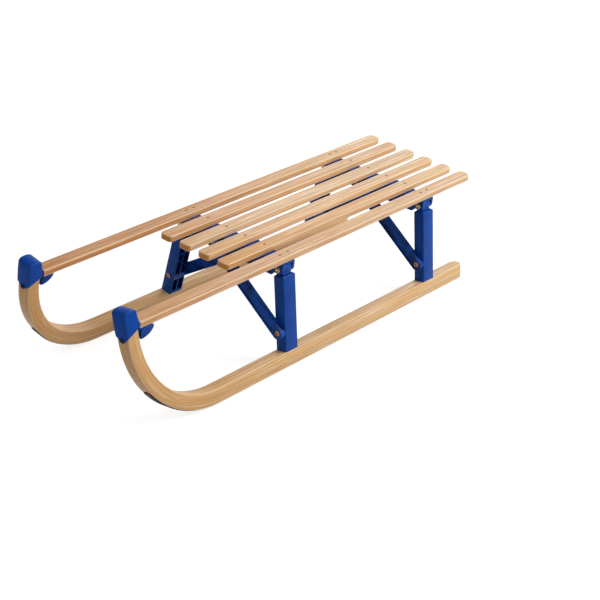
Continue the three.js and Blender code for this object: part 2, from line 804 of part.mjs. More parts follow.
// The stud through a beam half that ends the strut's upper pivot, with its nut head on
// the face away from the strut.
function buildStrutStud(seat, side, words, x) {
  const face = side * (beam.depth / 2 + seatGap);
  const top = face + side * strutBolt.nutHeight;
  const shankEnd = (-side * beam.depth) / 2;
  const [x0, x1] = [Math.min(face, top), Math.max(face, top)];
  const shank = barX(strutBolt.radius, Math.min(face, shankEnd), Math.max(face, shankEnd));
  const stud = join(hexX(strutBolt.nutFlats, x0, x1), shank);
  place(seat, meshOf(`strut_stud_${words}`, stud, "yellowZinc"), x, side * strutHead, 0);
}

// The centre hinge pins, which turn in the left half's knuckles.
function buildHingePins() {
  const half = beam.depth / 2 - seatGap;
  for (const [end, x] of [["front", frontTrestleX], ["rear", rearTrestleInset]]) {
    const pin = meshOf(`hinge_pin_${end}`, barX(hingePin.radius, -half, half), "yellowZinc");
    place(sledge, pin, x - overallLength / 2, 0, pivotHeight - hingeBelowPivot);
  }
}

// A strut with its upper bolt, leaning in from its leg's lower bolt.
function buildStrut(side, word, end, x) {
  const group = new THREE.Group();
  const lowerY = side * (pivotHalfSpan + strutReach * Math.sin(splay));
  const lowerZ = pivotHeight - strutReach * Math.cos(splay);
  group.position.set(x - overallLength / 2, lowerY, lowerZ);
  group.rotation.x = side * strutLean;
  const body = side > 0 ? strutSolid(-1) : strutSolid(1).mirror([1, 0, 0]);
  place(group, meshOf(`strut_${end}_${word}`, body, "bluePlastic"), side * strutPlane);
  const headSeat = side * (strut.depth - strut.headSink + seatGap);
  const screw = headedBolt(strutBolt, headSeat, side * seatGap);
  const name = `strut_screw_${end}_${word}`;
  place(group, meshOf(name, screw, "yellowZinc"), side * strutPlane, 0, strutLength);
  return group;
}

for (const [side, word] of [[1, "left"], [-1, "right"]]) {
  sledge.add(buildRunnerFrame(side, word));
  sledge.add(buildSeatHalf(side, word));
  sledge.add(buildStrut(side, word, "front", frontTrestleX));
  sledge.add(buildStrut(side, word, "rear", rearTrestleInset));
}
buildHingePins();

export default sledge;
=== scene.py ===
"""Folding wooden sledge: its looks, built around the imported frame.

Metres. +X points to the nose, +Y to the rider's left and +Z up. The sledge stands open
on its steel strips, with the origin at the bottom centre.
"""

import json
import logging
import math
from collections.abc import Callable, Sequence
from dataclasses import dataclass
from enum import Enum

import bmesh
import bpy
from mathutils import Matrix, Quaternion, Vector
from mathutils.bvhtree import BVHTree


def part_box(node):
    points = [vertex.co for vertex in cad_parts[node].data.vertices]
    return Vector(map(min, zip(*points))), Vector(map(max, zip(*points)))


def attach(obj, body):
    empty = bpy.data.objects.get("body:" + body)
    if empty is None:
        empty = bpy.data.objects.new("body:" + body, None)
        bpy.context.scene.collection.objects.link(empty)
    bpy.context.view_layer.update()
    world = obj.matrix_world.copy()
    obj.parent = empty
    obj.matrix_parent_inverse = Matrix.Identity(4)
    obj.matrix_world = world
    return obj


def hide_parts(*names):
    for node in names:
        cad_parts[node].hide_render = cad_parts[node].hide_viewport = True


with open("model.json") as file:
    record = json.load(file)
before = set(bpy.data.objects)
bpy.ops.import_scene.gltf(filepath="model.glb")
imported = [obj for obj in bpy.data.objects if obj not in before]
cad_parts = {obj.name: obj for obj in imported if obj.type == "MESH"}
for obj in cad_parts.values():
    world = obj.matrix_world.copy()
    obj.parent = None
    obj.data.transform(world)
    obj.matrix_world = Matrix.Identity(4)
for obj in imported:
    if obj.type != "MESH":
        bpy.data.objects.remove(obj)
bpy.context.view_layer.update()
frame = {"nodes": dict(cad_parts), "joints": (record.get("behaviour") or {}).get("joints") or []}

log = logging.getLogger("sledge")

MM = 0.001
MERGE = 1e-5  # points nearer than this are one point
WIDEST_RIM = 4 * MM  # a wider rounding doesn't take a rim's painted highlight
SQUARE = math.radians(60)  # an edge that turns by more is a square one
ENDS = ("front", "rear")
RANGE_ENDS = ("From Min", "From Max", "To Min", "To Max")

X, Y, Z = range(3)
AHEAD = Vector((1.0, 0.0, 0.0))
ACROSS = Vector((0.0, 1.0, 0.0))
UP = Vector((0.0, 0.0, 1.0))
X_TO_Z = Matrix.Rotation(-math.pi / 2, 4, "Y")
Z_TO_X = Matrix.Rotation(math.pi / 2, 4, "Y")

Pair = tuple[float, float]
Triple = tuple[float, float, float]
Colour = tuple[float, float, float]
Socket = bpy.types.NodeSocket
Material = bpy.types.Material
Mesh = bpy.types.Mesh
Shape = bmesh.types.BMesh
Vert = bmesh.types.BMVert
Edge = bmesh.types.BMEdge

WHITE: Colour = (1.0, 1.0, 1.0)
MOST: Pair = (0.3, 0.7)  # most values of a noise pattern lie in it


class Side(Enum):
    """The two sides of the sledge, as the rider has them."""

    LEFT = 1
    RIGHT = -1

    @property
    def word(self) -> str:
        """The side's word in the names of the nodes."""
        return self.name.lower()

    @property
    def runner_frame(self) -> str:
        """The body of the side's runner frame."""
        return f"{self.word}_runner_frame"

    @property
    def seat_half(self) -> str:
        """The body of the side's half of the seat."""
        return f"{self.word}_seat_half"


class Slot(Enum):
    """The material slots of the part's record."""

    SLAT = "slat_beech"
    RUNNER = "runner_beech"
    PLASTIC = "blue_plastic"
    STEEL = "steel_strip"
    ZINC = "yellow_zinc"


@dataclass(frozen=True)
class Layout:
    """The sizes that the pieces share, the same as in the part's source."""

    overall_length: float = 1097 * MM
    pivot_half_span: float = 134.5 * MM
    splay: float = math.radians(9.8)
    leg_reach: float = 178.3 * MM
    nose_x: float = 1090 * MM
    heel_inset: float = 30 * MM
    screw_spread: float = 11.6 * MM

    @property
    def pivot_height(self) -> float:
        """The height of the leg pivots above the ground, read from the joints."""
        return frame["joints"][0]["pos_m"][2]

    def runner_place(self, side: Side) -> Matrix:
        """Where a splayed runner frame stands.

        Args:
            side: The side of the sledge.

        Returns:
            The matrix from the runner's own frame to the sledge's frame. The runner's
            frame has x from the slats' rear tips and z up the runner from the pivots.
        """
        y = side.value * self.pivot_half_span
        spot = Vector((-self.overall_length / 2, y, self.pivot_height))
        return Matrix.Translation(spot) @ Matrix.Rotation(side.value * self.splay, 4, "X")


LAYOUT = Layout()


# Finishes


@dataclass(frozen=True)
class Figure:
    """A noise pattern, and how much of a colour it brings out where it is strong."""

    scale: float | Triple
    detail: float
    roughness: float
    distortion: float = 0.0
    shown: Pair = (0.0, 1.0)
    share: float = 1.0


class Nodes:
    """A node tree, with short calls for what the finishes and the studio share."""

    def __init__(self, tree: bpy.types.NodeTree) -> None:
        """Takes a tree and empties it."""
        self.tree = tree
        tree.nodes.clear()

    def add(self, kind: str, **settings: object) -> bpy.types.Node:
        """Adds a node.

        Args:
            kind: The node's type.
            settings: Attributes to set on it.

        Returns:
            The new node.
        """
        node = self.tree.nodes.new(kind)
        for key, value in settings.items():
            setattr(node, key, value)
        return node

    def wire(self, source: Socket, target: Socket) -> None:
        """Links two sockets."""
        self.tree.links.new(source, target)

    def feed(self, target: Socket, value: Socket | float | Sequence[float]) -> None:
        """Links an input to a socket, or sets the input's own plain value.

        Args:
            target: The input.
            value: The socket or the plain value.
        """
        if isinstance(value, Socket):
            self.wire(value, target)
        else:
            target.default_value = value

    def make(
        self, kind: str, output: str, inputs: dict[str | int, object], **settings: object
    ) -> Socket:
        """Adds a node with its inputs fed.

        Args:
            kind: The node's type.
            output: The output to give back.
            inputs: A socket or a plain value for each input.
            settings: Attributes to set on the node.

        Returns:
            The output.
        """
        node = self.add(kind, **settings)
        for key, value in inputs.items():
            self.feed(node.inputs[key], value)
        return node.outputs[output]

    def maths(self, action: str, first: Socket, second: Socket | float = 0.0) -> Socket:
        """One step of arithmetic on a value."""
        return self.make("ShaderNodeMath", "Value", {0: first, 1: second}, operation=action)

    def ray_is(self, *kinds: str) -> Socket:
        """1 for a ray of any of the kinds that the Light Path node names, and otherwise 0.

        Args:
            kinds: The kinds, as the node names them.

        Returns:
            The socket with the 1 or the 0.
        """
        path = self.add("ShaderNodeLightPath")
        seen, *others = [path.outputs[kind] for kind in kinds]
        for other in others:
            seen = self.maths("MAXIMUM", seen, other)
        return seen


class Sheet(Nodes):
    """A material's nodes, from its principled shader on."""

    def __init__(self, name: str) -> None:
        """Makes an empty material with an output and a principled shader.

        Args:
            name: The material's name.
        """
        self.material = bpy.data.materials.new(name)
        self.material.use_nodes = True
        super().__init__(self.material.node_tree)
        self.shader = self.add("ShaderNodeBsdfPrincipled")
        self.output = self.add("ShaderNodeOutputMaterial")
        self.wire(self.shader.outputs["BSDF"], self.output.inputs["Surface"])

    def dress(self, **values: Socket | float | Sequence[float]) -> None:
        """Feeds the shader's inputs, with _ for a blank in a name."""
        for key, value in values.items():
            self.feed(self.shader.inputs[key.replace("_", " ")], value)

    def object_place(self) -> Socket:
        """The place in the object's own coordinates."""
        return self.add("ShaderNodeTexCoord").outputs["Object"]

    def attribute(self, name: str, output: str = "Fac") -> Socket:
        """An attribute that the piece's mesh carries."""
        return self.add("ShaderNodeAttribute", attribute_name=name).outputs[output]

    def axis(self, place: Socket, axis: str) -> Socket:
        """A place's X, Y or Z."""
        return self.make("ShaderNodeSeparateXYZ", axis, {"Vector": place})

    def mapped(self, place: Socket, scale: Triple, shift: Triple) -> Socket:
        """Stretches a place and then shifts it, before a pattern reads it."""
        inputs = {"Vector": place, "Scale": scale, "Location": shift}
        return self.make("ShaderNodeMapping", "Vector", inputs)

    def noise(self, figure: Figure, place: Socket, shift: Triple = (0.0, 0.0, 0.0)) -> Socket:
        """A noise pattern from 0 to 1.

        Args:
            figure: The pattern.
            place: Where it is read.
            shift: What is added to the place of a stretched pattern.

        Returns:
            The socket with the pattern.
        """
        scale = figure.scale
        if isinstance(scale, tuple):
            place, scale = self.mapped(place, scale, shift), 1.0
        inputs = {
            "Vector": place,
            "Scale": scale,
            "Detail": figure.detail,
            "Roughness": figure.roughness,
            "Distortion": figure.distortion,
        }
        return self.make("ShaderNodeTexNoise", "Fac", inputs)

    def spread(self, value: Socket, old: Pair, new: Pair = (0.0, 1.0)) -> Socket:
        """Maps an old range onto a new one, and holds the value at the new one's ends."""
        inputs = {"Value": value, **dict(zip(RANGE_ENDS, (*old, *new)))}
        return self.make("ShaderNodeMapRange", "Result", inputs, clamp=True)

    def blend(
        self,
        share: Socket | float,
        first: Socket | Colour,
        second: Socket | Colour,
        mode: str = "MIX",
    ) -> Socket:
        """Mixes two colours.

        Args:
            share: How much of the second colour shows.
            first: A colour or a socket.
            second: A colour or a socket.
            mode: The way of mixing.

        Returns:
            The socket with the mixed colour.
        """
        node = self.add("ShaderNodeMix", data_type="RGBA", blend_type=mode)
        self.feed(node.inputs[0], share)
        colours = [socket for socket in node.inputs if socket.type == "RGBA"]
        for socket, value in zip(colours, (first, second)):
            self.feed(socket, value if isinstance(value, Socket) else (*value, 1.0))
        return next(socket for socket in node.outputs if socket.type == "RGBA")

    def veil(
        self, figure: Figure, noise: Socket, first: Socket | Colour, second: Colour
    ) -> Socket:
        """Lets a second colour show where a figure's noise is strong."""
        return self.blend(self.spread(noise, figure.shown, (0.0, figure.share)), first, second)

    def touched(self, name: str, share: float, first: Socket, second: Colour) -> Socket:
        """Lets a share of a second colour show where a face attribute is 1."""
        shown = self.spread(self.attribute(name), (0.0, 1.0), (0.0, share))
        return self.blend(shown, first, second)

    def relief(self, height: Socket, strength: float, distance: float) -> None:
        """Bumps the shader's surface by a height pattern."""
        inputs = {"Height": height, "Strength": strength, "Distance": distance}
        self.dress(Normal=self.make("ShaderNodeBump", "Normal", inputs))


@dataclass(frozen=True)
class Tone:
    """How a board's colour changes along the sledge, partly the wood's own tone and partly painted
    light.

    It is multiplied by front where x is at the reach's first value, and by tail where it
    is at the second.
    """

    front: Colour = WHITE
    tail: Colour = WHITE
    reach: Pair = (0.5, -0.5)


BROAD = Figure((2.4, 150, 165), 3.0, 0.55, 0.5, (0.42, 0.62), 0.75)
HUE = Figure((1.8, 105, 120), 2.0, 0.5, 0.6, (0.45, 0.60), 0.80)
BRIGHT = Figure((6.0, 290, 310), 3.0, 0.6, 0.3, (0.50, 0.64), 0.90)
FINE = Figure((8.0, 400, 430), 4.0, 0.62, 0.3, (0.50, 0.66), 0.90)
FLECKS = Figure((110, 1500, 1500), 2.0, 0.5, 0.0, (0.62, 0.74), 0.35)
RINGS = Figure((160, 160, 900), 3.0, 0.6, 0.6, (0.35, 0.7), 0.6)
WOBBLE = Figure(90.0, 2.0, 0.5, 0.0, MOST)


@dataclass(frozen=True)
class Beech:
    """Varnished beech, with its grain along the mesh's own grain coordinates."""

    pale: Colour = (0.70, 0.445, 0.235)
    dark: Colour = (0.50, 0.275, 0.115)
    gold: Colour = (0.72, 0.385, 0.135)
    light: Colour = (0.86, 0.64, 0.40)
    ray: Colour = (0.36, 0.185, 0.08)
    end: Colour = (0.70, 0.27, 0.030)
    # painted highlight: the lighter colour of the slender rounded rims
    ridge_highlight: Colour = (0.95, 0.70, 0.42)
    ridge_highlight_share: float = 0.60
    end_shown: Pair = (0.25, 0.80)
    end_share: float = 0.92
    sheen: Pair = (0.42, 0.54)
    gloss: float = 0.12
    coat: float = 0.24
    coat_sheen: float = 0.20
    bump: Pair = (0.30, 0.12 * MM)
    tone: Tone = Tone()
    seed: float = 0.0
    layers: int = 0
    layer_height: float = 5.4 * MM
    layer_share: float = 0.22
    joint_share: float = 0.50
    joint_shown: Pair = (0.39, 0.48)  # layers from a layer's middle
    crack: Pair | None = None
    crack_half: float = 0.8 * MM
    crack_reach: float = 6 * MM
    crack_lean: float = 0.45
    crack_wobble: float = 1.2 * MM

    def dress(self, name: str) -> Material:
        """Builds the material.

        Args:
            name: The material's name.

        Returns:
            The material.
        """
        sheet = Sheet(name)
        place = sheet.attribute("grain", "Vector")
        shift = (self.seed * 3.1, self.seed * 1.7, self.seed * 2.3)
        noises = {figure: sheet.noise(figure, place, shift) for figure in (BROAD, FINE, FLECKS)}
        noises |= {figure: sheet.noise(figure, place, shift[::-1]) for figure in (HUE, BRIGHT)}
        wood = self.pale
        figures = {BROAD: self.dark, HUE: self.gold, BRIGHT: self.light, FINE: self.dark}
        for figure, colour in (figures | {FLECKS: self.ray}).items():
            wood = sheet.veil(figure, noises[figure], wood, colour)
        # painted light with the wood's own tone: the colour is multiplied by a tone that changes
        # along x
        along = sheet.spread(sheet.axis(sheet.object_place(), "X"), self.tone.reach)
        tone = sheet.blend(along, self.tone.front, self.tone.tail)
        wood = sheet.blend(1.0, wood, tone, "MULTIPLY")
        if self.layers:
            wood = self._layered(sheet, place, wood)
        if self.crack:
            wood = self._cracked(sheet, place, wood)
        across = sheet.veil(RINGS, sheet.noise(RINGS, place, shift), self.end, self.ray)
        cut = sheet.spread(sheet.attribute("end_grain"), self.end_shown, (0.0, self.end_share))
        wood = sheet.blend(cut, wood, across)
        sheet.dress(
            # the rims take a share of the lighter colour, a painted highlight
            Base_Color=sheet.touched("rim", self.ridge_highlight_share, wood, self.ridge_highlight),
            Roughness=sheet.spread(noises[FINE], MOST, self.sheen),
            Specular_IOR_Level=self.gloss,
            Coat_Weight=self.coat,
            Coat_Roughness=self.coat_sheen,
        )
        sheet.relief(noises[FINE], *self.bump)
        return sheet.material

    def _cracked(self, sheet: Sheet, place: Socket, wood: Socket) -> Socket:
        """Adds a short dark crack that crosses the grain.

        Args:
            sheet: The material's nodes.
            place: The place in the wood.
            wood: The wood's colour so far.

        Returns:
            The socket with the new colour.
        """
        x, y = self.crack
        centred = sheet.mapped(place, (1.0, 1.0, 1.0), (-x, -y, 0.0))
        along, across = [sheet.axis(centred, axis) for axis in "XY"]
        wobble = (-self.crack_wobble, self.crack_wobble)
        bend = sheet.spread(sheet.noise(WOBBLE, place), WOBBLE.shown, wobble)
        straight = sheet.maths("SUBTRACT", along, sheet.maths("MULTIPLY", across, self.crack_lean))
        off = sheet.maths("ABSOLUTE", sheet.maths("ADD", straight, bend))
        line = sheet.spread(off, (self.crack_half, 2 * self.crack_half), (1.0, 0.0))
        ends = (self.crack_reach, 1.5 * self.crack_reach)
        reach = sheet.spread(sheet.maths("ABSOLUTE", across), ends, (1.0, 0.0))
        return sheet.blend(sheet.maths("MULTIPLY", line, reach), wood, self.ray)

    def _layered(self, sheet: Sheet, place: Socket, wood: Socket) -> Socket:
        """Gives each glued layer its own tone, with a thin joint between layers.

        Args:
            sheet: The material's nodes.
            place: The place in the wood.
            wood: The wood's colour so far.

        Returns:
            The socket with the new colour.
        """
        height, margin = self.layers * self.layer_height, 0.01
        own_draw = self.seed * 7.0 + 0.5
        level = sheet.spread(sheet.axis(place, "Z"), (0.0, height), (margin, self.layers - margin))
        pick = sheet.maths("ADD", sheet.maths("FLOOR", level), own_draw)
        kind = "ShaderNodeTexWhiteNoise"
        white = sheet.make(kind, "Value", {"W": pick}, noise_dimensions="1D")
        share = sheet.spread(white, (0.0, 1.0), (0.0, self.layer_share))
        varied = sheet.blend(share, wood, self.dark)
        within = sheet.maths("SUBTRACT", sheet.maths("FRACT", level), 0.5)
        edge = sheet.maths("ABSOLUTE", within)
        joint = sheet.spread(edge, self.joint_shown, (0.0, self.joint_share))
        half = self.layers / 2
        off_middle = sheet.maths("ABSOLUTE", sheet.maths("SUBTRACT", level, half))
        inside = sheet.spread(off_middle, (half - 0.5, half - 0.4), (1.0, 0.0))
        return sheet.blend(sheet.maths("MULTIPLY", joint, inside), varied, self.ray)


# Painted light: the near runner turns paler and bluer towards its tail, a painted sheen, and the
# far runner's tail is lightened where the seat's shadow falls.
RUNNER_TONES_AND_LIGHT = {
    Side.LEFT: Tone((1.13, 1.06, 1.00), (1.10, 1.22, 1.45), (0.52, 0.00)),
    Side.RIGHT: Tone((1.00, 0.92, 0.79), (1.22, 1.20, 1.16), (0.50, 0.15)),
}

# Partly the boards' own tones, partly painted light: most boards are darker and warmer at the
# nose, where less light falls, and paler and bluer towards the tail, a painted sheen.
SLAT_TONES_AND_LIGHT = {
    Side.LEFT: {
        "inner_slat": Tone((1.16, 1.16, 1.25), (1.05, 1.10, 1.22), (0.12, -0.50)),
        "outer_slat": Tone((1.04, 0.92, 0.80), (1.04, 1.08, 1.15), (0.12, -0.50)),
        "long_slat": Tone((1.03, 0.90, 0.86), (0.98, 1.03, 1.20), (0.50, -0.50)),
    },
    Side.RIGHT: {
        "inner_slat": Tone((1.15, 1.20, 1.38), (1.05, 1.16, 1.40), (0.12, -0.50)),
        "outer_slat": Tone((1.02, 0.89, 0.88), (1.03, 1.02, 1.05), (0.12, -0.50)),
        "long_slat": Tone((0.90, 0.68, 0.58), (1.04, 1.03, 1.05), (0.46, -0.40)),
    },
}


def runner_beech(side: Side) -> Beech:
    """The wood of a runner, glued from layers and warmer than the slats'."""
    colours = ((0.74, 0.455, 0.21), (0.56, 0.30, 0.11), (0.78, 0.42, 0.14))
    return Beech(*colours, tone=RUNNER_TONES_AND_LIGHT[side], seed=3.0 + side.value, layers=6)


@dataclass(frozen=True)
class MouldedPlastic:
    """Blue moulded plastic with a fine grain, flow marks, faint scuffs, painted highlight and
    shade.
    """

    colour: Colour = (0.004, 0.062, 0.34)
    shade: Colour = (0.003, 0.046, 0.26)
    scuff: Colour = (0.012, 0.095, 0.40)
    # painted highlight: the lighter colour of the slender rounded rims
    rim_highlight: Colour = (0.020, 0.11, 0.42)
    rim_highlight_share: float = 0.35
    # painted shade: the dark colour that faces in the mesh's own hollows take
    deep: Colour = (0.001, 0.010, 0.070)
    deep_shown: Pair = (0.25, 0.70)
    deep_share: float = 0.85
    roughness: float = 0.42
    gloss: float = 0.12
    matt: Pair = (-0.05, 0.10)  # what wear changes the roughness by
    matt_shown: Pair = (0.35, 0.75)
    bump: Pair = (0.12, 0.05 * MM)
    flow: Figure = Figure((14, 30, 22), 3.0, 0.5, 0.8, (0.30, 0.70))
    wear: Figure = Figure((60, 240, 90), 6.0, 0.7, 0.4, (0.60, 0.78), 0.30)
    grain: Figure = Figure(2600.0, 2.0, 0.5)

    def dress(self, name: str) -> Material:
        """Builds the material.

        Args:
            name: The material's name.

        Returns:
            The material.
        """
        sheet = Sheet(name)
        place = sheet.object_place()
        wear = sheet.noise(self.wear, place)
        base = sheet.veil(self.flow, sheet.noise(self.flow, place), self.colour, self.shade)
        scuffed = sheet.veil(self.wear, wear, base, self.scuff)
        # the rims take a share of the lighter colour, a painted highlight
        edged = sheet.touched("rim", self.rim_highlight_share, scuffed, self.rim_highlight)
        # painted shade: faces in the mesh's hollows darken towards deep, by their shelter
        inside = sheet.spread(sheet.attribute("shelter"), self.deep_shown, (0.0, self.deep_share))
        matt = tuple(self.roughness + change for change in self.matt)
        sheet.dress(
            Base_Color=sheet.blend(inside, edged, self.deep),
            Roughness=sheet.spread(wear, self.matt_shown, matt),
            Specular_IOR_Level=self.gloss,
        )
        sheet.relief(sheet.noise(self.grain, place), *self.bump)
        return sheet.material


@dataclass(frozen=True)
class Metal:
    """A plated or rolled metal with a drawn grain, clouded tint and painted shade in its recesses.
    """

    colour: Colour
    tint: Colour
    roughness: float
    metallic: float = 1.0
    gloss: float = 0.5
    drawn: Figure = Figure((60, 900, 900), 4.0, 0.65)
    cloud: Figure = Figure(180.0, 3.0, 0.6, 0.5, (0.35, 0.68))
    # painted shade: the dark colour of the cross recesses in the heads
    recess_shade: Colour = (0.030, 0.018, 0.012)
    recess_shade_share: float = 0.9
    matt: Pair = (-0.08, 0.14)  # what the drawn grain changes the roughness by
    bump: Pair = (0.15, 0.04 * MM)

    def dress(self, name: str) -> Material:
        """Builds the material.

        Args:
            name: The material's name.

        Returns:
            The material.
        """
        sheet = Sheet(name)
        place = sheet.object_place()
        drawn = sheet.noise(self.drawn, place)
        tinted = sheet.veil(self.cloud, sheet.noise(self.cloud, place), self.colour, self.tint)
        matt = tuple(self.roughness + change for change in self.matt)
        sheet.dress(
            # the recess faces take the dark colour, a painted shade
            Base_Color=sheet.touched("recess", self.recess_shade_share, tinted, self.recess_shade),
            Roughness=sheet.spread(drawn, MOST, matt),
            Metallic=self.metallic,
            Specular_IOR_Level=self.gloss,
        )
        sheet.relief(drawn, *self.bump)
        return sheet.material


# The braces' large dark and light patches are partly flow marks and partly painted shade and
# highlight, standing in for the uneven light on them.
BRACE = MouldedPlastic(
    (0.008, 0.078, 0.41),
    (0.002, 0.022, 0.15),
    flow=Figure((18, 15, 18), 3.0, 0.5, 0.8, (0.46, 0.64)),
)
CAP = MouldedPlastic((0.006, 0.073, 0.41), (0.004, 0.056, 0.33), gloss=0.07)
NYLON = MouldedPlastic(
    (0.012, 0.016, 0.03), (0.008, 0.010, 0.02), (0.03, 0.035, 0.05), (0.03, 0.035, 0.05)
)
ZINC = Metal((0.60, 0.42, 0.17), (0.42, 0.32, 0.17), 0.30)
BRONZE = Metal((0.36, 0.24, 0.11), (0.22, 0.15, 0.075), 0.38)
COPPER = Metal((0.42, 0.20, 0.11), (0.25, 0.13, 0.08), 0.36)
DARK = Metal((0.022, 0.014, 0.034), (0.012, 0.010, 0.026), 0.50, 0.5, 0.2)
STEEL = Metal(
    (0.014, 0.011, 0.008), (0.008, 0.006, 0.005), 0.50, 0.3, 0.10, Figure((4, 700, 700), 4.0, 0.65)
)


class Finishes:
    """The materials that pieces share, each made once."""

    def __init__(self) -> None:
        """Makes the plastics and the metals; each board makes its own wood."""
        self.plastic = MouldedPlastic().dress("blue_plastic")
        self.brace = BRACE.dress("blue_brace_plastic")
        self.cap = CAP.dress("blue_cap_plastic")
        self.zinc = ZINC.dress("yellow_zinc")
        self.bronze = BRONZE.dress("bronzed_screws")
        self.copper = COPPER.dress("coppered_bolts")
        self.dark = DARK.dress("blackened_steel")
        self.nylon = NYLON.dress("nylon")
        self.steel = STEEL.dress("steel_strip")


# Shapes


def ray(angle: float) -> Vector:
    """The unit vector at an angle from +x up to +z."""
    return Vector((math.cos(angle), 0.0, math.sin(angle)))


def run(edge: Edge, axis: int) -> float:
    """How far an edge runs along an axis."""
    return abs(edge.verts[0].co[axis] - edge.verts[1].co[axis])


def lowest(edge: Edge, axis: int) -> float:
    """The lower of an edge's two ends on an axis."""
    return min(vert.co[axis] for vert in edge.verts)


def is_square(edge: Edge) -> bool:
    """Whether the faces beside an edge turn by enough to call it square."""
    return edge.calc_face_angle(0.0) > SQUARE


def is_upright(edge: Edge) -> bool:
    """Whether an edge of a level board runs up."""
    return run(edge, Z) > MERGE


def round_edges(
    shape: Shape, chosen: Callable[[Edge], bool], radius: float, segments: int
) -> None:
    """Rounds edges, and marks the new faces of a slender rounding as a rim, for a painted
    highlight.

    Args:
        shape: The bmesh that holds them.
        chosen: Whether an edge is one to round.
        radius: How far the rounding reaches on each side.
        segments: Its number of steps.
    """
    rim = shape.faces.layers.float.get("rim") or shape.faces.layers.float.new("rim")
    made = bmesh.ops.bevel(
        shape,
        geom=[edge for edge in shape.edges if chosen(edge)],
        offset=radius,
        offset_type="OFFSET",
        segments=segments,
        profile=0.5,
        affect="EDGES",
        material=-1,
        clamp_overlap=True,
    )
    for face in made["faces"]:
        face[rim] = 1.0 if radius < WIDEST_RIM else 0.0


def add_block(shape: Shape, low: Sequence[float], high: Sequence[float]) -> None:
    """Adds a box between two corners.

    Args:
        shape: The bmesh to add it to.
        low: The lower corner.
        high: The upper corner.
    """
    verts = bmesh.ops.create_cube(shape, size=1.0)["verts"]
    first, last = Vector(low), Vector(high)
    bmesh.ops.scale(shape, vec=last - first, verts=verts)
    bmesh.ops.translate(shape, vec=(first + last) / 2, verts=verts)


def add_bar(
    shape: Shape,
    start: float,
    end: float,
    start_radius: float,
    end_radius: float,
    sides: int = 32,
) -> list[Vert]:
    """Adds a round bar or cone along X.

    Args:
        shape: The bmesh to add it to.
        start: The x of its first end.
        end: The x of its second end, which is the greater.
        start_radius: The radius at the first end.
        end_radius: The radius at the second end.
        sides: How many faces go round it.

    Returns:
        The new vertices.
    """
    radii = {"radius1": start_radius, "radius2": end_radius}
    made = bmesh.ops.create_cone(shape, cap_ends=True, segments=sides, depth=end - start, **radii)
    lift = Matrix.Translation(((start + end) / 2, 0.0, 0.0))
    bmesh.ops.transform(shape, matrix=lift @ Z_TO_X, verts=made["verts"])
    return made["verts"]


def add_prism(shape: Shape, outline: Sequence[Vector], travel: Vector) -> None:
    """Extrudes a flat outline.

    Args:
        shape: The bmesh to add it to.
        outline: The outline's corners in order.
        travel: The way and the length of the extrusion.
    """
    face = shape.faces.new([shape.verts.new(point) for point in outline])
    made = bmesh.ops.extrude_face_region(shape, geom=[face], use_keep_orig=True)
    tops = [item for item in made["geom"] if isinstance(item, Vert)]
    bmesh.ops.translate(shape, vec=travel, verts=tops)


def as_mesh(shape: Shape) -> Mesh:
    """Turns a bmesh into a mesh, and frees it.

    Args:
        shape: The bmesh.

    Returns:
        The mesh.
    """
    mesh = bpy.data.meshes.new("piece")
    shape.to_mesh(mesh)
    shape.free()
    return mesh


def closed_mesh(shape: Shape) -> Mesh:
    """Turns a bmesh into a mesh without doubles and with its faces outwards.

    Args:
        shape: The bmesh, which is freed.

    Returns:
        The mesh.
    """
    bmesh.ops.remove_doubles(shape, verts=shape.verts, dist=MERGE)
    bmesh.ops.recalc_face_normals(shape, faces=shape.faces)
    return as_mesh(shape)


def bar(start: float, end: float, radius: float, sides: int = 32) -> Mesh:
    """A closed round bar along X.

    Args:
        start: The x of its first end.
        end: The x of its second end, which is the greater.
        radius: Its radius.
        sides: How many faces go round it.

    Returns:
        The mesh.
    """
    shape = bmesh.new()
    add_bar(shape, start, end, radius, radius, sides)
    return closed_mesh(shape)


def turned(
    profile: Sequence[Pair], sides: int = 36, place: Matrix | None = None, ring: bool = False
) -> Mesh:
    """Turns a profile about X into a closed solid.

    Args:
        profile: Pairs of x and radius, from one end of the axis to the other.
        sides: How many faces go round it.
        place: Where the solid goes after that.
        ring: Whether the profile closes on itself, clear of the axis.

    Returns:
        The mesh.
    """
    shape = bmesh.new()
    verts = [shape.verts.new((x, radius, 0.0)) for x, radius in profile]
    pairs = [*zip(verts, verts[1:])] + [(verts[-1], verts[0])] * ring
    bmesh.ops.spin(
        shape,
        geom=verts + [shape.edges.new(pair) for pair in pairs],
        cent=(0.0, 0.0, 0.0),
        axis=AHEAD,
        angle=math.tau,
        steps=sides,
        use_merge=True,
    )
    if place:
        bmesh.ops.transform(shape, matrix=place, verts=shape.verts)
    return closed_mesh(shape)


def stand(name: str, data: bpy.types.ID) -> bpy.types.Object:
    """Puts a mesh, a lamp or a camera in the scene as an object.

    Args:
        name: The object's name.
        data: What it shows.

    Returns:
        The object.
    """
    item = bpy.data.objects.new(name, data)
    bpy.context.scene.collection.objects.link(item)
    return item


def carve(body: Mesh, tool: Mesh, action: str = "DIFFERENCE") -> Mesh:
    """Cuts one mesh by another, or joins them.

    Args:
        body: The mesh to change.
        tool: The mesh that cuts it.
        action: The boolean operation.

    Returns:
        The new mesh. The old ones are gone.
    """
    holder, cutter = stand("holder", body), stand("cutter", tool)
    step = holder.modifiers.new("cut", "BOOLEAN")
    step.operation = action
    step.solver = "EXACT"
    step.object = cutter
    bpy.context.view_layer.update()
    ready = holder.evaluated_get(bpy.context.evaluated_depsgraph_get())
    result = bpy.data.meshes.new_from_object(ready)
    for item, mesh in ((holder, body), (cutter, tool)):
        bpy.data.objects.remove(item)
        bpy.data.meshes.remove(mesh)
    return result


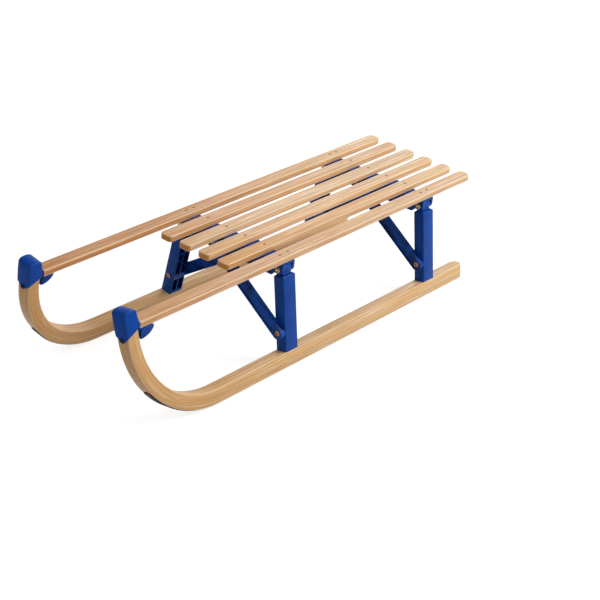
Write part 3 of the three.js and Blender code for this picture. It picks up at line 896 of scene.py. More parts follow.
def cross_slots(arm: float, half: float, low: float, high: float, axis: int) -> list[Mesh]:
    """The two cutters of a cross recess, with their faces marked as the recess.

    Args:
        arm: Half the length of each slot.
        half: Half its width.
        low: Where it starts along the screw's axis.
        high: Where it ends along that axis.
        axis: The screw's axis, X or Z.

    Returns:
        The cutters.
    """
    tools = []
    for wide, deep in ((half, arm), (arm, half)):
        shape = bmesh.new()
        if axis == X:
            add_block(shape, (low, -wide, -deep), (high, wide, deep))
        else:
            add_block(shape, (-wide, -deep, low), (wide, deep, high))
        tool = closed_mesh(shape)
        mark = tool.attributes.new("recess", "FLOAT", "FACE")
        mark.data.foreach_set("value", [1.0] * len(tool.polygons))
        tools.append(tool)
    return tools


def sink_cones(places: Sequence[Matrix], radius: float, depth: float) -> Mesh:
    """The cones that countersunk heads lie in.

    Args:
        places: Where each cone's mouth is, with z out of the surface.
        radius: The mouth's radius, roughly.
        depth: How deep each cone goes.

    Returns:
        The mesh.
    """
    shape = bmesh.new()
    wide = radius * (1 + MM / depth)
    for place in places:
        verts = add_bar(shape, -depth, MM, radius - depth, wide, sides=24)
        bmesh.ops.transform(shape, matrix=place @ X_TO_Z, verts=verts)
    return closed_mesh(shape)


# The shelter darkens the plastics, as painted shade in their hollows.
def write_shelter(mesh: Mesh, reach: float = 30 * MM, rays: int = 24) -> None:
    """Writes how far each face lies inside the mesh's own hollows, from 0 to 1.

    Args:
        mesh: The mesh to write on.
        reach: How near another wall must be to count.
        rays: How many directions are tried from each face.
    """
    shape = bmesh.new()
    shape.from_mesh(mesh)
    tree = BVHTree.FromBMesh(shape)
    shape.free()
    golden_turn = math.pi * (3.0 - math.sqrt(5.0))
    lift = 0.05
    shelter = mesh.attributes.new("shelter", "FLOAT", "FACE")
    for item, face in zip(shelter.data, mesh.polygons):
        aim = UP.rotation_difference(face.normal)
        start = face.center + face.normal * lift * MM
        hits = 0
        for i in range(rays):
            rise = math.sqrt(1.0 - (i + 0.5) / rays)
            level = math.sqrt(1.0 - rise * rise)
            turn = golden_turn * i
            way = Vector((level * math.cos(turn), level * math.sin(turn), rise))
            hits += tree.ray_cast(start, aim @ way, reach)[0] is not None
        item.value = hits / rays


def write_grain(
    mesh: Mesh, locate: Callable[[Vector], Vector], direction: Callable[[Vector], Vector]
) -> None:
    """Writes where each point lies in the wood, and which faces cut across the grain.

    Args:
        mesh: The mesh to write on.
        locate: Gives a point's place in the wood: along it, across it and up its layers.
        direction: Gives the way that the grain runs at a point.
    """
    grain = mesh.attributes.new("grain", "FLOAT_VECTOR", "POINT")
    for item, vertex in zip(grain.data, mesh.vertices):
        item.vector = locate(vertex.co)
    end_grain = mesh.attributes.new("end_grain", "FLOAT", "FACE")
    for item, face in zip(end_grain.data, mesh.polygons):
        item.value = abs(face.normal.dot(direction(face.center)))


def finish_piece(
    mesh: Mesh,
    name: str,
    material: Material,
    body: str,
    replaces: Sequence[str] = (),
    crease: float = math.radians(32),
) -> None:
    """Makes a mesh a piece of the sledge.

    Args:
        mesh: The mesh, in place.
        name: The piece's name.
        material: Its material.
        body: The body that it rides on.
        replaces: The nodes that it stands for.
        crease: The angle past which an edge stays sharp.
    """
    mesh.name = name
    mesh.materials.clear()
    mesh.materials.append(material)
    for face in mesh.polygons:
        face.use_smooth = True
        face.material_index = 0
    mesh.set_sharp_from_angle(angle=crease)
    piece = stand(name, mesh)
    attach(piece, body)
    if replaces:
        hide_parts(*replaces)
    log.info("%s: %d faces", name, len(mesh.polygons))


@dataclass
class Assembly:
    """A sub-assembly on one side of the sledge."""

    finishes: Finishes
    side: Side


# Wood


@dataclass(frozen=True)
class WoodScrew:
    """A countersunk wood screw with a cross recess, its head's face just below z = 0."""

    sink_radius: float = 3.7 * MM
    head_height: float = 2.0 * MM
    below: float = 0.5 * MM
    head_gap: float = 0.35 * MM
    recess_width: float = 0.9 * MM
    recess_length: float = 4.2 * MM
    recess_depth: float = 1.3 * MM
    shank: float = 1.5 * MM
    length: float = 16 * MM
    point: float = 4 * MM
    sides: int = 28

    def _one(self) -> Mesh:
        """One screw along -z.

        Returns:
            The mesh.
        """
        profile = [
            (-self.length, 0.0),
            (-self.length + self.point, self.shank),
            (-self.head_height - self.below, self.shank),
            (-self.below, self.sink_radius - self.head_gap),
            (-self.below, 0.0),
        ]
        mesh = turned(profile, self.sides, X_TO_Z)
        low = -self.recess_depth - self.below
        for slot in cross_slots(self.recess_length / 2, self.recess_width / 2, low, MM, Z):
            mesh = carve(mesh, slot)
        return mesh

    def cluster(self, places: Sequence[Matrix]) -> Mesh:
        """Several screws in one mesh.

        Args:
            places: Where each screw stands.

        Returns:
            The mesh with all of them.
        """
        one = self._one()
        shape = bmesh.new()
        for place in places:
            copy = one.copy()
            copy.transform(place)
            shape.from_mesh(copy)
            bpy.data.meshes.remove(copy)
        bpy.data.meshes.remove(one)
        return as_mesh(shape)


@dataclass
class SlatBoard(Assembly):
    """One slat with its countersunk screws."""

    name: str
    finish: Beech
    screws: Sequence[Pair]
    square_front: bool = False
    tip_radius: float = 12 * MM
    front_radius: float = 8 * MM
    edge: float = 2.2 * MM
    sink_radius: float = 3.7 * MM
    sink_depth: float = 2.2 * MM
    recess_turn: float = 0.7

    def build(self) -> None:
        """Builds the board and its screws."""
        node = f"{self.name}_{self.side.word}"
        low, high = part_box(node)
        places = [Matrix.Translation((x, y, high.z)) for x, y in self.screws]
        sinks = sink_cones(places, self.sink_radius, self.sink_depth)
        board = carve(self._board(low, high), sinks)
        middle = (low + high) / 2
        write_grain(board, lambda point: point - middle, lambda point: AHEAD)
        material = self.finish.dress(f"beech_{node}")
        body = self.side.seat_half
        finish_piece(board, f"board_{node}", material, body, [node])
        turns = [Matrix.Rotation(self.recess_turn * i, 4, "Z") for i in range(len(places))]
        stands = [place @ turn for place, turn in zip(places, turns)]
        screws = WoodScrew(self.sink_radius).cluster(stands)
        finish_piece(screws, f"screws_{node}", self.finishes.bronze, body)

    def _board(self, low: Vector, high: Vector) -> Mesh:
        """The board with its round tips and softened rims.

        Args:
            low: The lower corner of its box.
            high: The upper corner.

        Returns:
            The mesh.
        """
        shape = bmesh.new()
        add_block(shape, low, high)
        middle, front = (low.x + high.x) / 2, high.x - MERGE
        round_edges(
            shape, lambda e: is_upright(e) and lowest(e, X) < middle, self.tip_radius, segments=8
        )
        if not self.square_front:
            round_edges(
                shape,
                lambda e: is_upright(e) and lowest(e, X) > front,
                self.front_radius,
                segments=6,
            )
        bare = front if self.square_front else math.inf
        round_edges(
            shape, lambda e: not is_upright(e) and lowest(e, X) <= bare, self.edge, segments=4
        )
        return closed_mesh(shape)


@dataclass
class RunnerSide(Assembly):
    """A laminated runner with its steel strip, in the splayed frame of its side."""

    finish: Beech = Beech()
    width: float = 29 * MM
    heel_thickness: float = 32.5 * MM
    nose_thickness: float = 26.6 * MM
    outer_bend: float = 229 * MM
    inner_bend: float = 201 * MM
    end_above_pivot: float = 30 * MM
    edge: float = 2.2 * MM
    tip_flat: float = 0.05 * MM
    steps: int = 40
    strip_width: float = 20 * MM
    strip_thickness: float = 1.85 * MM
    strip_gap: float = 0.05 * MM
    strip_setback: float = 15 * MM
    strip_start: float = math.radians(38)
    strip_edge: float = 0.4 * MM
    strip_tip_zone: float = 1.2  # thicknesses from its top that hold its front end's edges
    strip_slack: float = 0.1 * MM
    end_screw_step: float = 9 * MM
    sole_screw_shares: tuple[float, ...] = (0.0, 0.34, 0.68, 1.0)
    strip_screw: WoodScrew = WoodScrew(3.4 * MM, 1.25 * MM, 0.15 * MM)
    strip_sink_depth: float = 1.4 * MM

    @property
    def outer_centre(self) -> Vector:
        """The centre of the bend's outer face, in the runner's frame."""
        sole = LAYOUT.leg_reach + self.heel_thickness
        return Vector((LAYOUT.nose_x - self.outer_bend, 0.0, self.outer_bend - sole))

    @property
    def inner_centre(self) -> Vector:
        """The centre of the bend's inner face, in the runner's frame."""
        inner_x = LAYOUT.nose_x - self.nose_thickness - self.inner_bend
        return Vector((inner_x, 0.0, self.inner_bend - LAYOUT.leg_reach))

    def build(self) -> None:
        """Builds the runner, its strip and the strip's screws."""
        place, body, word = LAYOUT.runner_place(self.side), self.side.runner_frame, self.side.word
        mesh = self._runner()
        mesh.transform(place)
        material = self.finish.dress(f"beech_runner_{word}")
        finish_piece(mesh, f"bent_runner_{word}", material, body, [f"runner_{word}"])
        spots = self._strip_screws()
        sinks = sink_cones(spots, self.strip_screw.sink_radius, self.strip_sink_depth)
        mesh = carve(self._strip(), sinks)
        mesh.transform(place)
        node, steel = f"runner_strip_{word}", self.finishes.steel
        finish_piece(mesh, f"sole_strip_{word}", steel, body, [node])
        mesh = self.strip_screw.cluster(spots)
        mesh.transform(place)
        finish_piece(mesh, f"strip_screws_{word}", self.finishes.bronze, body)

    def grown(self, gap: float) -> Mesh:
        """The bent band in its own frame, grown on every side, to cut a socket with.

        Args:
            gap: How far it is grown.

        Returns:
            The mesh.
        """
        stations = []
        for station in self._stations():
            thick = Vector(station.col[2][:3]).length
            swell = Matrix.Diagonal((1.0, 1.0, (thick + 2 * gap) / thick, 1.0))
            stations.append(station @ Matrix.Translation((0.0, 0.0, -gap / thick)) @ swell)
        stations[-1] = Matrix.Translation((0.0, 0.0, gap)) @ stations[-1]
        return closed_mesh(self._sweep(stations, self.width + 2 * gap))

    def _runner(self) -> Mesh:
        """The runner with a round rear end and softened long edges, and its grain.

        Returns:
            The mesh, in the runner's frame.
        """
        shape = self._sweep(self._stations(), self.width)
        rear = LAYOUT.heel_inset
        round_edges(
            shape,
            lambda e: all(abs(v.co.x - rear) < MERGE for v in e.verts) and run(e, Y) < MERGE,
            self.width / 2 - self.tip_flat,
            segments=10,
        )
        round_edges(shape, is_square, self.edge, segments=4)
        mesh = closed_mesh(shape)
        write_grain(mesh, self._in_wood, self._grain_way)
        return mesh

    def _strip(self) -> Mesh:
        """The strip with its front end round in plan and its rims softened.

        Returns:
            The mesh, in the runner's frame.
        """
        shape = self._sweep(self._strip_stations(), self.strip_width)
        tip = max(vert.co.z for vert in shape.verts) - self.strip_tip_zone * self.strip_thickness
        round_edges(
            shape,
            lambda e: lowest(e, Z) > tip
            and run(e, Y) < MERGE
            and abs(e.calc_length() - self.strip_thickness) < self.strip_slack
            and is_square(e),
            self.strip_width / 2 - self.tip_flat,
            segments=8,
        )
        round_edges(shape, is_square, self.strip_edge, segments=2)
        return closed_mesh(shape)

    def _strip_screws(self) -> list[Matrix]:
        """Where the strip's screws stand, each with z out of the strip's outer face.

        Returns:
            The places, in the runner's frame.
        """
        centre = self.outer_centre
        reach = self.outer_bend + self.strip_gap + self.strip_thickness
        out = ray(-self.strip_start - self.end_screw_step / reach)
        turn = UP.rotation_difference(out).to_matrix().to_4x4()
        places = [Matrix.Translation(centre + reach * out) @ turn]
        flip = Matrix.Rotation(math.pi, 4, "X")
        rear = LAYOUT.heel_inset + self.strip_setback + self.end_screw_step
        for share in self.sole_screw_shares:
            x = rear + share * (centre.x - rear)
            places.append(Matrix.Translation((x, 0.0, centre.z - reach)) @ flip)
        return places

    def _section(self, inner: Vector, outer: Vector) -> Matrix:
        """A cross-section's place: its z runs from the outer point to the inner one.

        Args:
            inner: The middle of its edge on the bend's inner face.
            outer: The middle of its edge on the outer face.

        Returns:
            The place.
        """
        rise = inner - outer
        turn = Matrix((ACROSS.cross(rise).normalized(), ACROSS, rise)).transposed().to_4x4()
        return Matrix.Translation(outer) @ turn

    def _stations(self) -> list[Matrix]:
        """The runner's cross-sections from the heel to the top of the nose.

        Returns:
            Their places in order.
        """
        heel = Vector((LAYOUT.heel_inset, 0.0, -LAYOUT.leg_reach))
        stations = [self._section(heel, heel - self.heel_thickness * UP)]
        for i in range(self.steps + 1):
            way = ray((i / self.steps - 1) * math.pi / 2)
            inner = self.inner_centre + self.inner_bend * way
            outer = self.outer_centre + self.outer_bend * way
            stations.append(self._section(inner, outer))
        top = Vector((LAYOUT.nose_x, 0.0, self.end_above_pivot))
        stations.append(self._section(top - self.nose_thickness * AHEAD, top))
        return stations

    def _strip_stations(self) -> list[Matrix]:
        """The strip's cross-sections from the heel to its front end on the bend.

        Returns:
            Their places in order.
        """
        centre = self.outer_centre
        near = self.outer_bend + self.strip_gap
        far = near + self.strip_thickness
        rear = Vector((LAYOUT.heel_inset + self.strip_setback, 0.0, centre.z))
        stations = [self._section(rear - near * UP, rear - far * UP)]
        sweep = math.pi / 2 - self.strip_start
        count = self.steps // 2
        for i in range(count + 1):
            way = ray(i / count * sweep - math.pi / 2)
            stations.append(self._section(centre + near * way, centre + far * way))
        return stations

    def _sweep(self, stations: Sequence[Matrix], width: float) -> Shape:
        """Extrudes a rectangle through a row of cross-sections.

        Args:
            stations: Where each cross-section stands.
            width: The width across the sledge.

        Returns:
            The swept shape, closed at both ends.
        """
        shape = bmesh.new()
        start = bmesh.ops.create_grid(shape, x_segments=1, y_segments=1, size=0.5)["verts"]
        flat = Matrix.Translation((0.0, 0.0, 0.5)) @ Z_TO_X
        widen = Matrix.Diagonal((1.0, width, 1.0, 1.0))
        bmesh.ops.transform(shape, matrix=stations[0] @ widen @ flat, verts=start)
        face = shape.faces[:][0]
        for before, after in zip(stations, stations[1:]):
            made = bmesh.ops.extrude_face_region(shape, geom=[face], use_keep_orig=True)["geom"]
            if before is not stations[0]:
                bmesh.ops.delete(shape, geom=[face], context="FACES_ONLY")
            verts = [item for item in made if isinstance(item, Vert)]
            face = next(item for item in made if isinstance(item, bmesh.types.BMFace))
            bmesh.ops.transform(shape, matrix=after @ before.inverted(), verts=verts)
        bmesh.ops.recalc_face_normals(shape, faces=shape.faces)
        return shape

    def _in_wood(self, point: Vector) -> Vector:
        """A point's place along the bent wood, across it and up its layers.

        The layers share the thickness out evenly, so that they thin towards the nose.

        Args:
            point: The point, in the runner's frame.

        Returns:
            The place.
        """
        centre = (self.inner_centre + self.outer_centre) / 2
        middle = (self.inner_bend + self.outer_bend) / 2
        total = self.finish.layers * self.finish.layer_height
        if point.x <= centre.x:
            share = (-LAYOUT.leg_reach - point.z) / self.heel_thickness
            return Vector((point.x, point.y, share * total))
        if point.z >= centre.z:
            along = centre.x + middle * math.pi / 2 + point.z - centre.z
            share = (point.x - (LAYOUT.nose_x - self.nose_thickness)) / self.nose_thickness
            return Vector((along, point.y, share * total))
        arm = point - centre
        angle = math.atan2(arm.z, arm.x) + math.pi / 2
        way = ray(angle - math.pi / 2)
        inner = (self.inner_centre + self.inner_bend * way - centre).length
        outer = (self.outer_centre + self.outer_bend * way - centre).length
        share = (Vector((arm.x, 0.0, arm.z)).length - inner) / (outer - inner)
        return Vector((centre.x + middle * angle, point.y, share * total))

    def _grain_way(self, point: Vector) -> Vector:
        """The way that the bent grain runs at a point.

        Args:
            point: The point, in the runner's frame.

        Returns:
            A unit vector.
        """
        centre = (self.inner_centre + self.outer_centre) / 2
        if point.x <= centre.x:
            return AHEAD
        if point.z >= centre.z:
            return UP
        arm = point - centre
        return Vector((-arm.z, 0.0, arm.x)).normalized()


# Moulded pieces


@dataclass
class MouldedPiece:
    """A moulded plastic piece: a copy of a node with its outer edges rounded."""

    node: str
    name: str
    body: str
    plastic: Material
    radius: float = 0.7 * MM
    segments: int = 2
    sharp: float = math.radians(28)
    flat: float = math.radians(0.5)

    def build(self) -> None:
        """Builds the piece."""
        mesh = self._moulding()
        write_shelter(mesh)
        finish_piece(mesh, self.name, self.plastic, self.body, [self.node])

    def _moulding(self) -> Mesh:
        """The piece's mesh with its rims rounded.

        Returns:
            The mesh.
        """
        shape = bmesh.new()
        shape.from_mesh(frame["nodes"][self.node].data)
        bmesh.ops.remove_doubles(shape, verts=shape.verts, dist=MERGE)
        bmesh.ops.dissolve_limit(
            shape, angle_limit=self.flat, verts=shape.verts, edges=shape.edges, delimit=set()
        )
        round_edges(
            shape,
            lambda e: e.is_convex and e.calc_face_angle(0.0) > self.sharp,
            self.radius,
            self.segments,
        )
        return closed_mesh(shape)


@dataclass(kw_only=True)
class PivotShoe(MouldedPiece):
    """The half-moon shoe, with an upstand that closes the long slat's front end."""

    slat: str
    lip: float = 1.8 * MM
    lip_edge: float = 0.6 * MM
    root: float = 6.5 * MM
    root_inset: float = 0.6 * MM
    seam_gap: float = 0.1 * MM
    top_gap: float = 0.2 * MM

    def _moulding(self) -> Mesh:
        """The shoe joined with its upstand.

        Returns:
            The mesh.
        """
        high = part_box(self.node)[1]
        end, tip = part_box(self.slat)
        back, front = high.x - self.root_inset, tip.x + self.lip
        seam, top, foot = high.z - self.seam_gap, tip.z - self.top_gap, high.z - self.root
        outline = [(tip.x, top), (front, top), (front, foot)]
        outline += [(back, foot), (back, seam), (tip.x, seam)]
        shape = bmesh.new()
        add_prism(shape, [Vector((x, end.y, z)) for x, z in outline], (tip.y - end.y) * ACROSS)
        round_edges(shape, lambda e: lowest(e, X) > front - MERGE, self.lip_edge, segments=2)
        return carve(super()._moulding(), closed_mesh(shape), "UNION")


@dataclass
class NoseCap(Assembly):
    """The hood over a runner's nose, with a socket for it and a tongue for the nose bolt.

    Hem and curves are in millimetres, forward of the runner's front face and above the
    pivot. Each curve has a start, a control point and an end.
    """

    width: float = 35 * MM
    edge: float = 3.2 * MM
    gap: float = 0.2 * MM
    hem: tuple[Pair, ...] = ((-30.5, 25.7), (-30.5, 18.7), (2.0, 4.0))
    curves: tuple[tuple[Pair, Pair, Pair], ...] = (
        ((2.0, 4.0), (6.6, 34.0), (7.0, 50.0)),
        ((7.0, 50.0), (7.0, 59.2), (-8.0, 59.2)),
        ((-8.0, 59.2), (-16.0, 59.2), (-23.3, 55.0)),
    )
    steps: int = 12
    tongue_radius: float = 6.4 * MM
    tongue_taper: float = 3.2 * MM
    tongue_proud: float = 2.0 * MM
    tongue_edge: float = 0.8 * MM
    bore: float = 3.3 * MM
    head_seat: float = 4.9 * MM
    bore_start: float = 4 * MM
    overrun: float = 20 * MM
    crease: float = math.radians(40)

    def build(self) -> None:
        """Builds the cap."""
        word, nose = self.side.word, LAYOUT.nose_x
        hood = carve(self._hood(), self._tongue(), "UNION")
        hood = carve(hood, RunnerSide(self.finishes, self.side).grown(self.gap))
        hood = carve(hood, bar(nose - self.bore_start, nose + self.overrun, self.bore))
        hood = carve(hood, bar(nose + self.tongue_proud, nose + self.overrun, self.head_seat))
        hood.transform(LAYOUT.runner_place(self.side))
        body, blue, node = self.side.runner_frame, self.finishes.cap, f"nose_cap_{word}"
        finish_piece(hood, f"cap_{word}", blue, body, [node], self.crease)

    def _outline(self) -> list[Vector]:
        """The hood's side outline, from its rear hem round to its rear top edge.

        Returns:
            Its corners in order.
        """
        flat = [Vector(point) for point in self.hem]
        for curve in self.curves:
            first, middle, last = map(Vector, curve)
            for i in range(1, self.steps + 1):
                t = i / self.steps
                flat.append((1 - t) ** 2 * first + 2 * t * (1 - t) * middle + t * t * last)
        return [Vector((LAYOUT.nose_x + p.x * MM, -self.width / 2, p.y * MM)) for p in flat]

    def _hood(self) -> Mesh:
        """The hood as a solid block with its side rims rounded.

        Returns:
            The mesh.
        """
        shape = bmesh.new()
        add_prism(shape, self._outline(), self.width * ACROSS)
        round_edges(shape, lambda e: run(e, Y) < MERGE, self.edge, segments=6)
        return closed_mesh(shape)

    def _tongue(self) -> Mesh:
        """The tongue under the hood's face, round at its lower end.

        Returns:
            The mesh.
        """
        start = (LAYOUT.nose_x + self.gap) * AHEAD
        root = self.width / 2 - self.edge
        top, chin = self.hem[1][1] * MM, self.hem[2][1] * MM
        low = math.asin(self.tongue_taper / self.tongue_radius)
        outline = [Vector((start.x, root, top)), Vector((start.x, root, chin))]
        for i in range(self.steps + 1):
            angle = -low - (math.pi - 2 * low) * i / self.steps
            way = Vector((0.0, math.cos(angle), math.sin(angle)))
            outline.append(start + way * self.tongue_radius)
        outline += [Vector((start.x, -root, chin)), Vector((start.x, -root, top))]
        shape = bmesh.new()
        add_prism(shape, outline, (self.tongue_proud - self.gap) * AHEAD)
        front = LAYOUT.nose_x + self.tongue_proud - MERGE
        round_edges(
            shape,
            lambda e: lowest(e, X) > front and lowest(e, Z) < top - MERGE,
            self.tongue_edge,
            segments=3,
        )
        return closed_mesh(shape)


# Fasteners


@dataclass(frozen=True)
class Bolt:
    """A domed bolt along X, with a cross recess and a threaded end.

    The head's underside is at x = 0 and the head grows towards +x.
    """

    radius: float
    head_radius: float
    head_height: float
    rim_share: float = 0.45
    dome_steps: int = 8
    head_bevel: float = 0.25 * MM
    pitch: float = 1.0 * MM
    thread: float = 9 * MM
    thread_depth: float = 0.5 * MM
    end_bevel: float = 0.8 * MM
    slot_reach: float = 0.58
    slot_half: float = 0.8 * MM
    slot_floor: float = 0.2

    def mesh(self, length: float) -> Mesh:
        """The bolt's mesh.

        Args:
            length: The length of its shank.

        Returns:
            The mesh.
        """
        body = turned(self._profile(length))
        arm, low = self.slot_reach * self.head_radius, self.slot_floor * self.head_height
        for slot in cross_slots(arm, self.slot_half, low, 2 * self.head_height, X):
            body = carve(body, slot)
        return body

    def _profile(self, length: float) -> list[Pair]:
        """The turned profile, from the middle of the head to the end of the shank.

        Args:
            length: The length of the shank.

        Returns:
            Pairs of x and radius.
        """
        rim = self.rim_share * self.head_height
        profile = []
        for i in range(self.dome_steps + 1):
            angle = i / self.dome_steps * math.pi / 2
            x = rim + (self.head_height - rim) * math.cos(angle)
            profile.append((x, self.head_radius * math.sin(angle)))
        profile.append((self.head_bevel, self.head_radius))
        profile += [(0.0, self.head_radius - self.head_bevel), (0.0, self.radius)]
        start = -length + self.thread
        for i in range(int(self.thread / self.pitch)):
            x = start - i * self.pitch
            profile += [(x, self.radius), (x - self.pitch / 2, self.radius - self.thread_depth)]
        return profile + [(-length, self.radius - self.end_bevel), (-length, 0.0)]


@dataclass(frozen=True)
class LockNut:
    """A hexagonal lock nut along X, from its seat at x = 0 to its round collar.

    Each pair of the crown says how far below the top and how far in from the collar's
    side a point lies. The ring's depths are below the top, and its radii start from the bore.
    """

    radius: float
    flats: float
    height: float
    collar_share: float = 0.34
    bevel_share: float = 0.55
    collar_width: float = 0.93
    crown: tuple[Pair, ...] = ((0.6 * MM, 0.0), (0.15 * MM, 0.5 * MM), (0.0, 1.0 * MM))
    seat_depth: float = 0.9 * MM
    seat_wall: float = 1.1 * MM
    ring_depths: Pair = (0.88 * MM, 0.2 * MM)
    ring_radii: Pair = (-0.35 * MM, 1.05 * MM)

    def mesh(self) -> Mesh:
        """The nut's mesh, with its collar, its bore and its ring's seat.

        Returns:
            The mesh.
        """
        inner = self.flats / 2
        corner = inner / math.cos(math.pi / 6)
        hexed = self.height * (1 - self.collar_share)
        bevel = self.bevel_share * (corner - inner)
        barrel = [(0.0, 0.0), (0.0, inner), (bevel, corner), (hexed - bevel, corner)]
        barrel += [(hexed, inner), (hexed, 0.0)]
        nut = carve(bar(0.0, hexed, corner, 6), turned(barrel), "INTERSECT")
        wide = inner * self.collar_width
        collar = [(hexed / 2, 0.0), (hexed / 2, wide)]
        collar += [(self.height - down, wide - inward) for down, inward in self.crown]
        nut = carve(nut, turned(collar + [(self.height, 0.0)]), "UNION")
        end = self.height + MM
        nut = carve(nut, bar(-MM, end, self.radius))
        return carve(nut, bar(self.height - self.seat_depth, end, self.radius + self.seat_wall))

    def insert(self) -> Mesh:
        """The ring in the collar that grips the thread.

        Returns:
            The mesh.
        """
        low, high = [self.height - depth for depth in self.ring_depths]
        inner, outer = [self.radius + radius for radius in self.ring_radii]
        return turned([(low, inner), (low, outer), (high, outer), (high, inner)], ring=True)


PIVOT_BOLT = Bolt(3.5 * MM, 6.4 * MM, 3.6 * MM)
STRUT_BOLT = Bolt(3.0 * MM, 6.5 * MM, 2.8 * MM)
NOSE_BOLT = Bolt(3.0 * MM, 4.6 * MM, 1.6 * MM)
PIVOT_NUT = LockNut(3.7 * MM, 12 * MM, 5 * MM)
STRUT_NUT = LockNut(3.2 * MM, 10 * MM, 4.4 * MM)


@dataclass
class Hardware(Assembly):
    """The bolts, nuts and studs of one side, each placed by the box of its node.

    A way of 1 or -1 turns a bolt's head or a nut's collar towards +x or -x.
    """

    def build(self) -> None:
        """Builds every fastener of the side."""
        word, way = self.side.word, self.side.value
        below, above = self.side.runner_frame, self.side.seat_half
        metals = self.finishes
        self._bolt(f"nose_bolt_{word}", NOSE_BOLT, 1, below, metals.dark)
        for end in ENDS:
            words = f"{end}_{word}"
            self._bolt(f"pivot_bolt_{words}", PIVOT_BOLT, -1, above, metals.zinc)
            self._nut(f"pivot_nut_{words}", PIVOT_NUT, 1, above)
            self._bolt(f"strut_bolt_{words}", STRUT_BOLT, way, below, metals.copper)
            self._nut(f"strut_nut_{words}", STRUT_NUT, -way, below)
            strut = f"{word}_{end}_strut"
            self._bolt(f"strut_screw_{words}", STRUT_BOLT, way, strut, metals.copper)
            self._stud(f"strut_stud_{words}", way, above)

    def _place(self, x: float, node: str, way: int) -> Matrix:
        """Where a fastener's own x = 0 stands, with its x along or against the sledge.

        Args:
            x: How far along the sledge it stands.
            node: The node that it stands for.
            way: The way of its own x.

        Returns:
            The place.
        """
        low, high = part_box(node)
        middle = (low + high) / 2
        turn = Matrix.Identity(4) if way > 0 else Matrix.Rotation(math.pi, 4, "Z")
        return Matrix.Translation((x, middle.y, middle.z)) @ turn

    def _bolt(self, node: str, pattern: Bolt, way: int, body: str, metal: Material) -> None:
        """Builds one bolt.

        Args:
            node: The node that it stands for.
            pattern: The kind of bolt.
            way: The way of its head.
            body: The body that it rides on.
            metal: Its metal.
        """
        low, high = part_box(node)
        under = high.x - pattern.head_height if way > 0 else low.x + pattern.head_height
        mesh = pattern.mesh(high.x - low.x - pattern.head_height)
        mesh.transform(self._place(under, node, way))
        finish_piece(mesh, f"turned_{node}", metal, body, [node])

    def _nut(self, node: str, pattern: LockNut, way: int, body: str) -> None:
        """Builds one lock nut with its ring.

        Args:
            node: The node that it stands for.
            pattern: The kind of nut.
            way: The way of its collar.
            body: The body that it rides on.
        """
        low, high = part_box(node)
        place = self._place(low.x if way > 0 else high.x, node, way)
        self._ringed(pattern.mesh(), pattern, place, f"lock_{node}", node, body)

    def _stud(self, node: str, way: int, body: str) -> None:
        """Builds the nut-headed stud of a strut's upper pivot.

        Args:
            node: The node that it stands for.
            way: The way of its collar.
            body: The body that it rides on.
        """
        low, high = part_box(node)
        height, shank = STRUT_NUT.height, STRUT_BOLT.radius
        start, end = height / 2, height - (high.x - low.x)
        stem = turned([(start, 0.0), (start, shank), (end, shank), (end, 0.0)])
        mesh = carve(STRUT_NUT.mesh(), stem, "UNION")
        place = self._place(high.x - height if way > 0 else low.x + height, node, way)
        self._ringed(mesh, STRUT_NUT, place, f"turned_{node}", node, body)

    def _ringed(
        self, mesh: Mesh, pattern: LockNut, place: Matrix, name: str, node: str, body: str
    ) -> None:
        """Finishes a nut or a stud together with its ring.

        Args:
            mesh: The nut or the stud.
            pattern: The nut that the ring belongs to.
            place: Where both stand.
            name: The piece's name.
            node: The node that it stands for.
            body: The body that both ride on.
        """
        rim = pattern.insert()
        for item in (mesh, rim):
            item.transform(place)
        finish_piece(mesh, name, self.finishes.zinc, body, [node])
        finish_piece(rim, f"ring_{node}", self.finishes.nylon, body)


@dataclass
class HingePin:
    """A centre hinge pin with chamfered ends."""

    end: str
    metal: Material
    chamfer: float = 0.6 * MM

    def build(self) -> None:
        """Builds the pin."""
        node = f"hinge_pin_{self.end}"
        low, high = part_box(node)
        half, radius = (high.x - low.x) / 2, (high.y - low.y) / 2
        rim, small = half - self.chamfer, radius - self.chamfer
        profile = [(-half, 0.0), (-half, small), (-rim, radius), (rim, radius), (half, small)]
        mesh = turned(profile + [(half, 0.0)], place=Matrix.Translation((low + high) / 2))
        body = Side.LEFT.seat_half
        finish_piece(mesh, f"turned_{node}", self.metal, body, [node])


# Studio


@dataclass(frozen=True)
class Viewpoint:
    """The camera of the photograph."""

    azimuth: float = math.radians(37.569)
    elevation: float = math.radians(27.959)
    roll: float = math.radians(6.169)
    distance: float = 3.5533
    focal_pixels: float = 1626.8
    frame_pixels: float = 600.0
    centre_x: float = 287.7
    centre_y: float = 289.6
    sensor: float = 36.0
    aim_x: float = 0.444

    def build(self) -> None:
        """Makes the camera and sets it as the scene's."""
        data = bpy.data.cameras.new("camera")
        data.sensor_width = self.sensor
        data.lens = self.focal_pixels / self.frame_pixels * self.sensor
        data.shift_x = 0.5 - self.centre_x / self.frame_pixels
        data.shift_y = self.centre_y / self.frame_pixels - 0.5
        camera = stand("camera", data)
        level, rise = math.cos(self.elevation), math.sin(self.elevation)
        x, y = level * math.cos(self.azimuth), level * math.sin(self.azimuth)
        back = Vector((x, y, rise))
        runner_top = LAYOUT.pivot_height - LAYOUT.leg_reach * math.cos(LAYOUT.splay)
        aim = Vector((self.aim_x - LAYOUT.overall_length / 2, 0.0, runner_top))
        turn = (-back).to_track_quat("-Z", "Y") @ Quaternion(UP, self.roll)
        spot = Matrix.Translation(aim + self.distance * back)
        camera.matrix_world = spot @ turn.to_matrix().to_4x4()
        bpy.context.scene.camera = camera


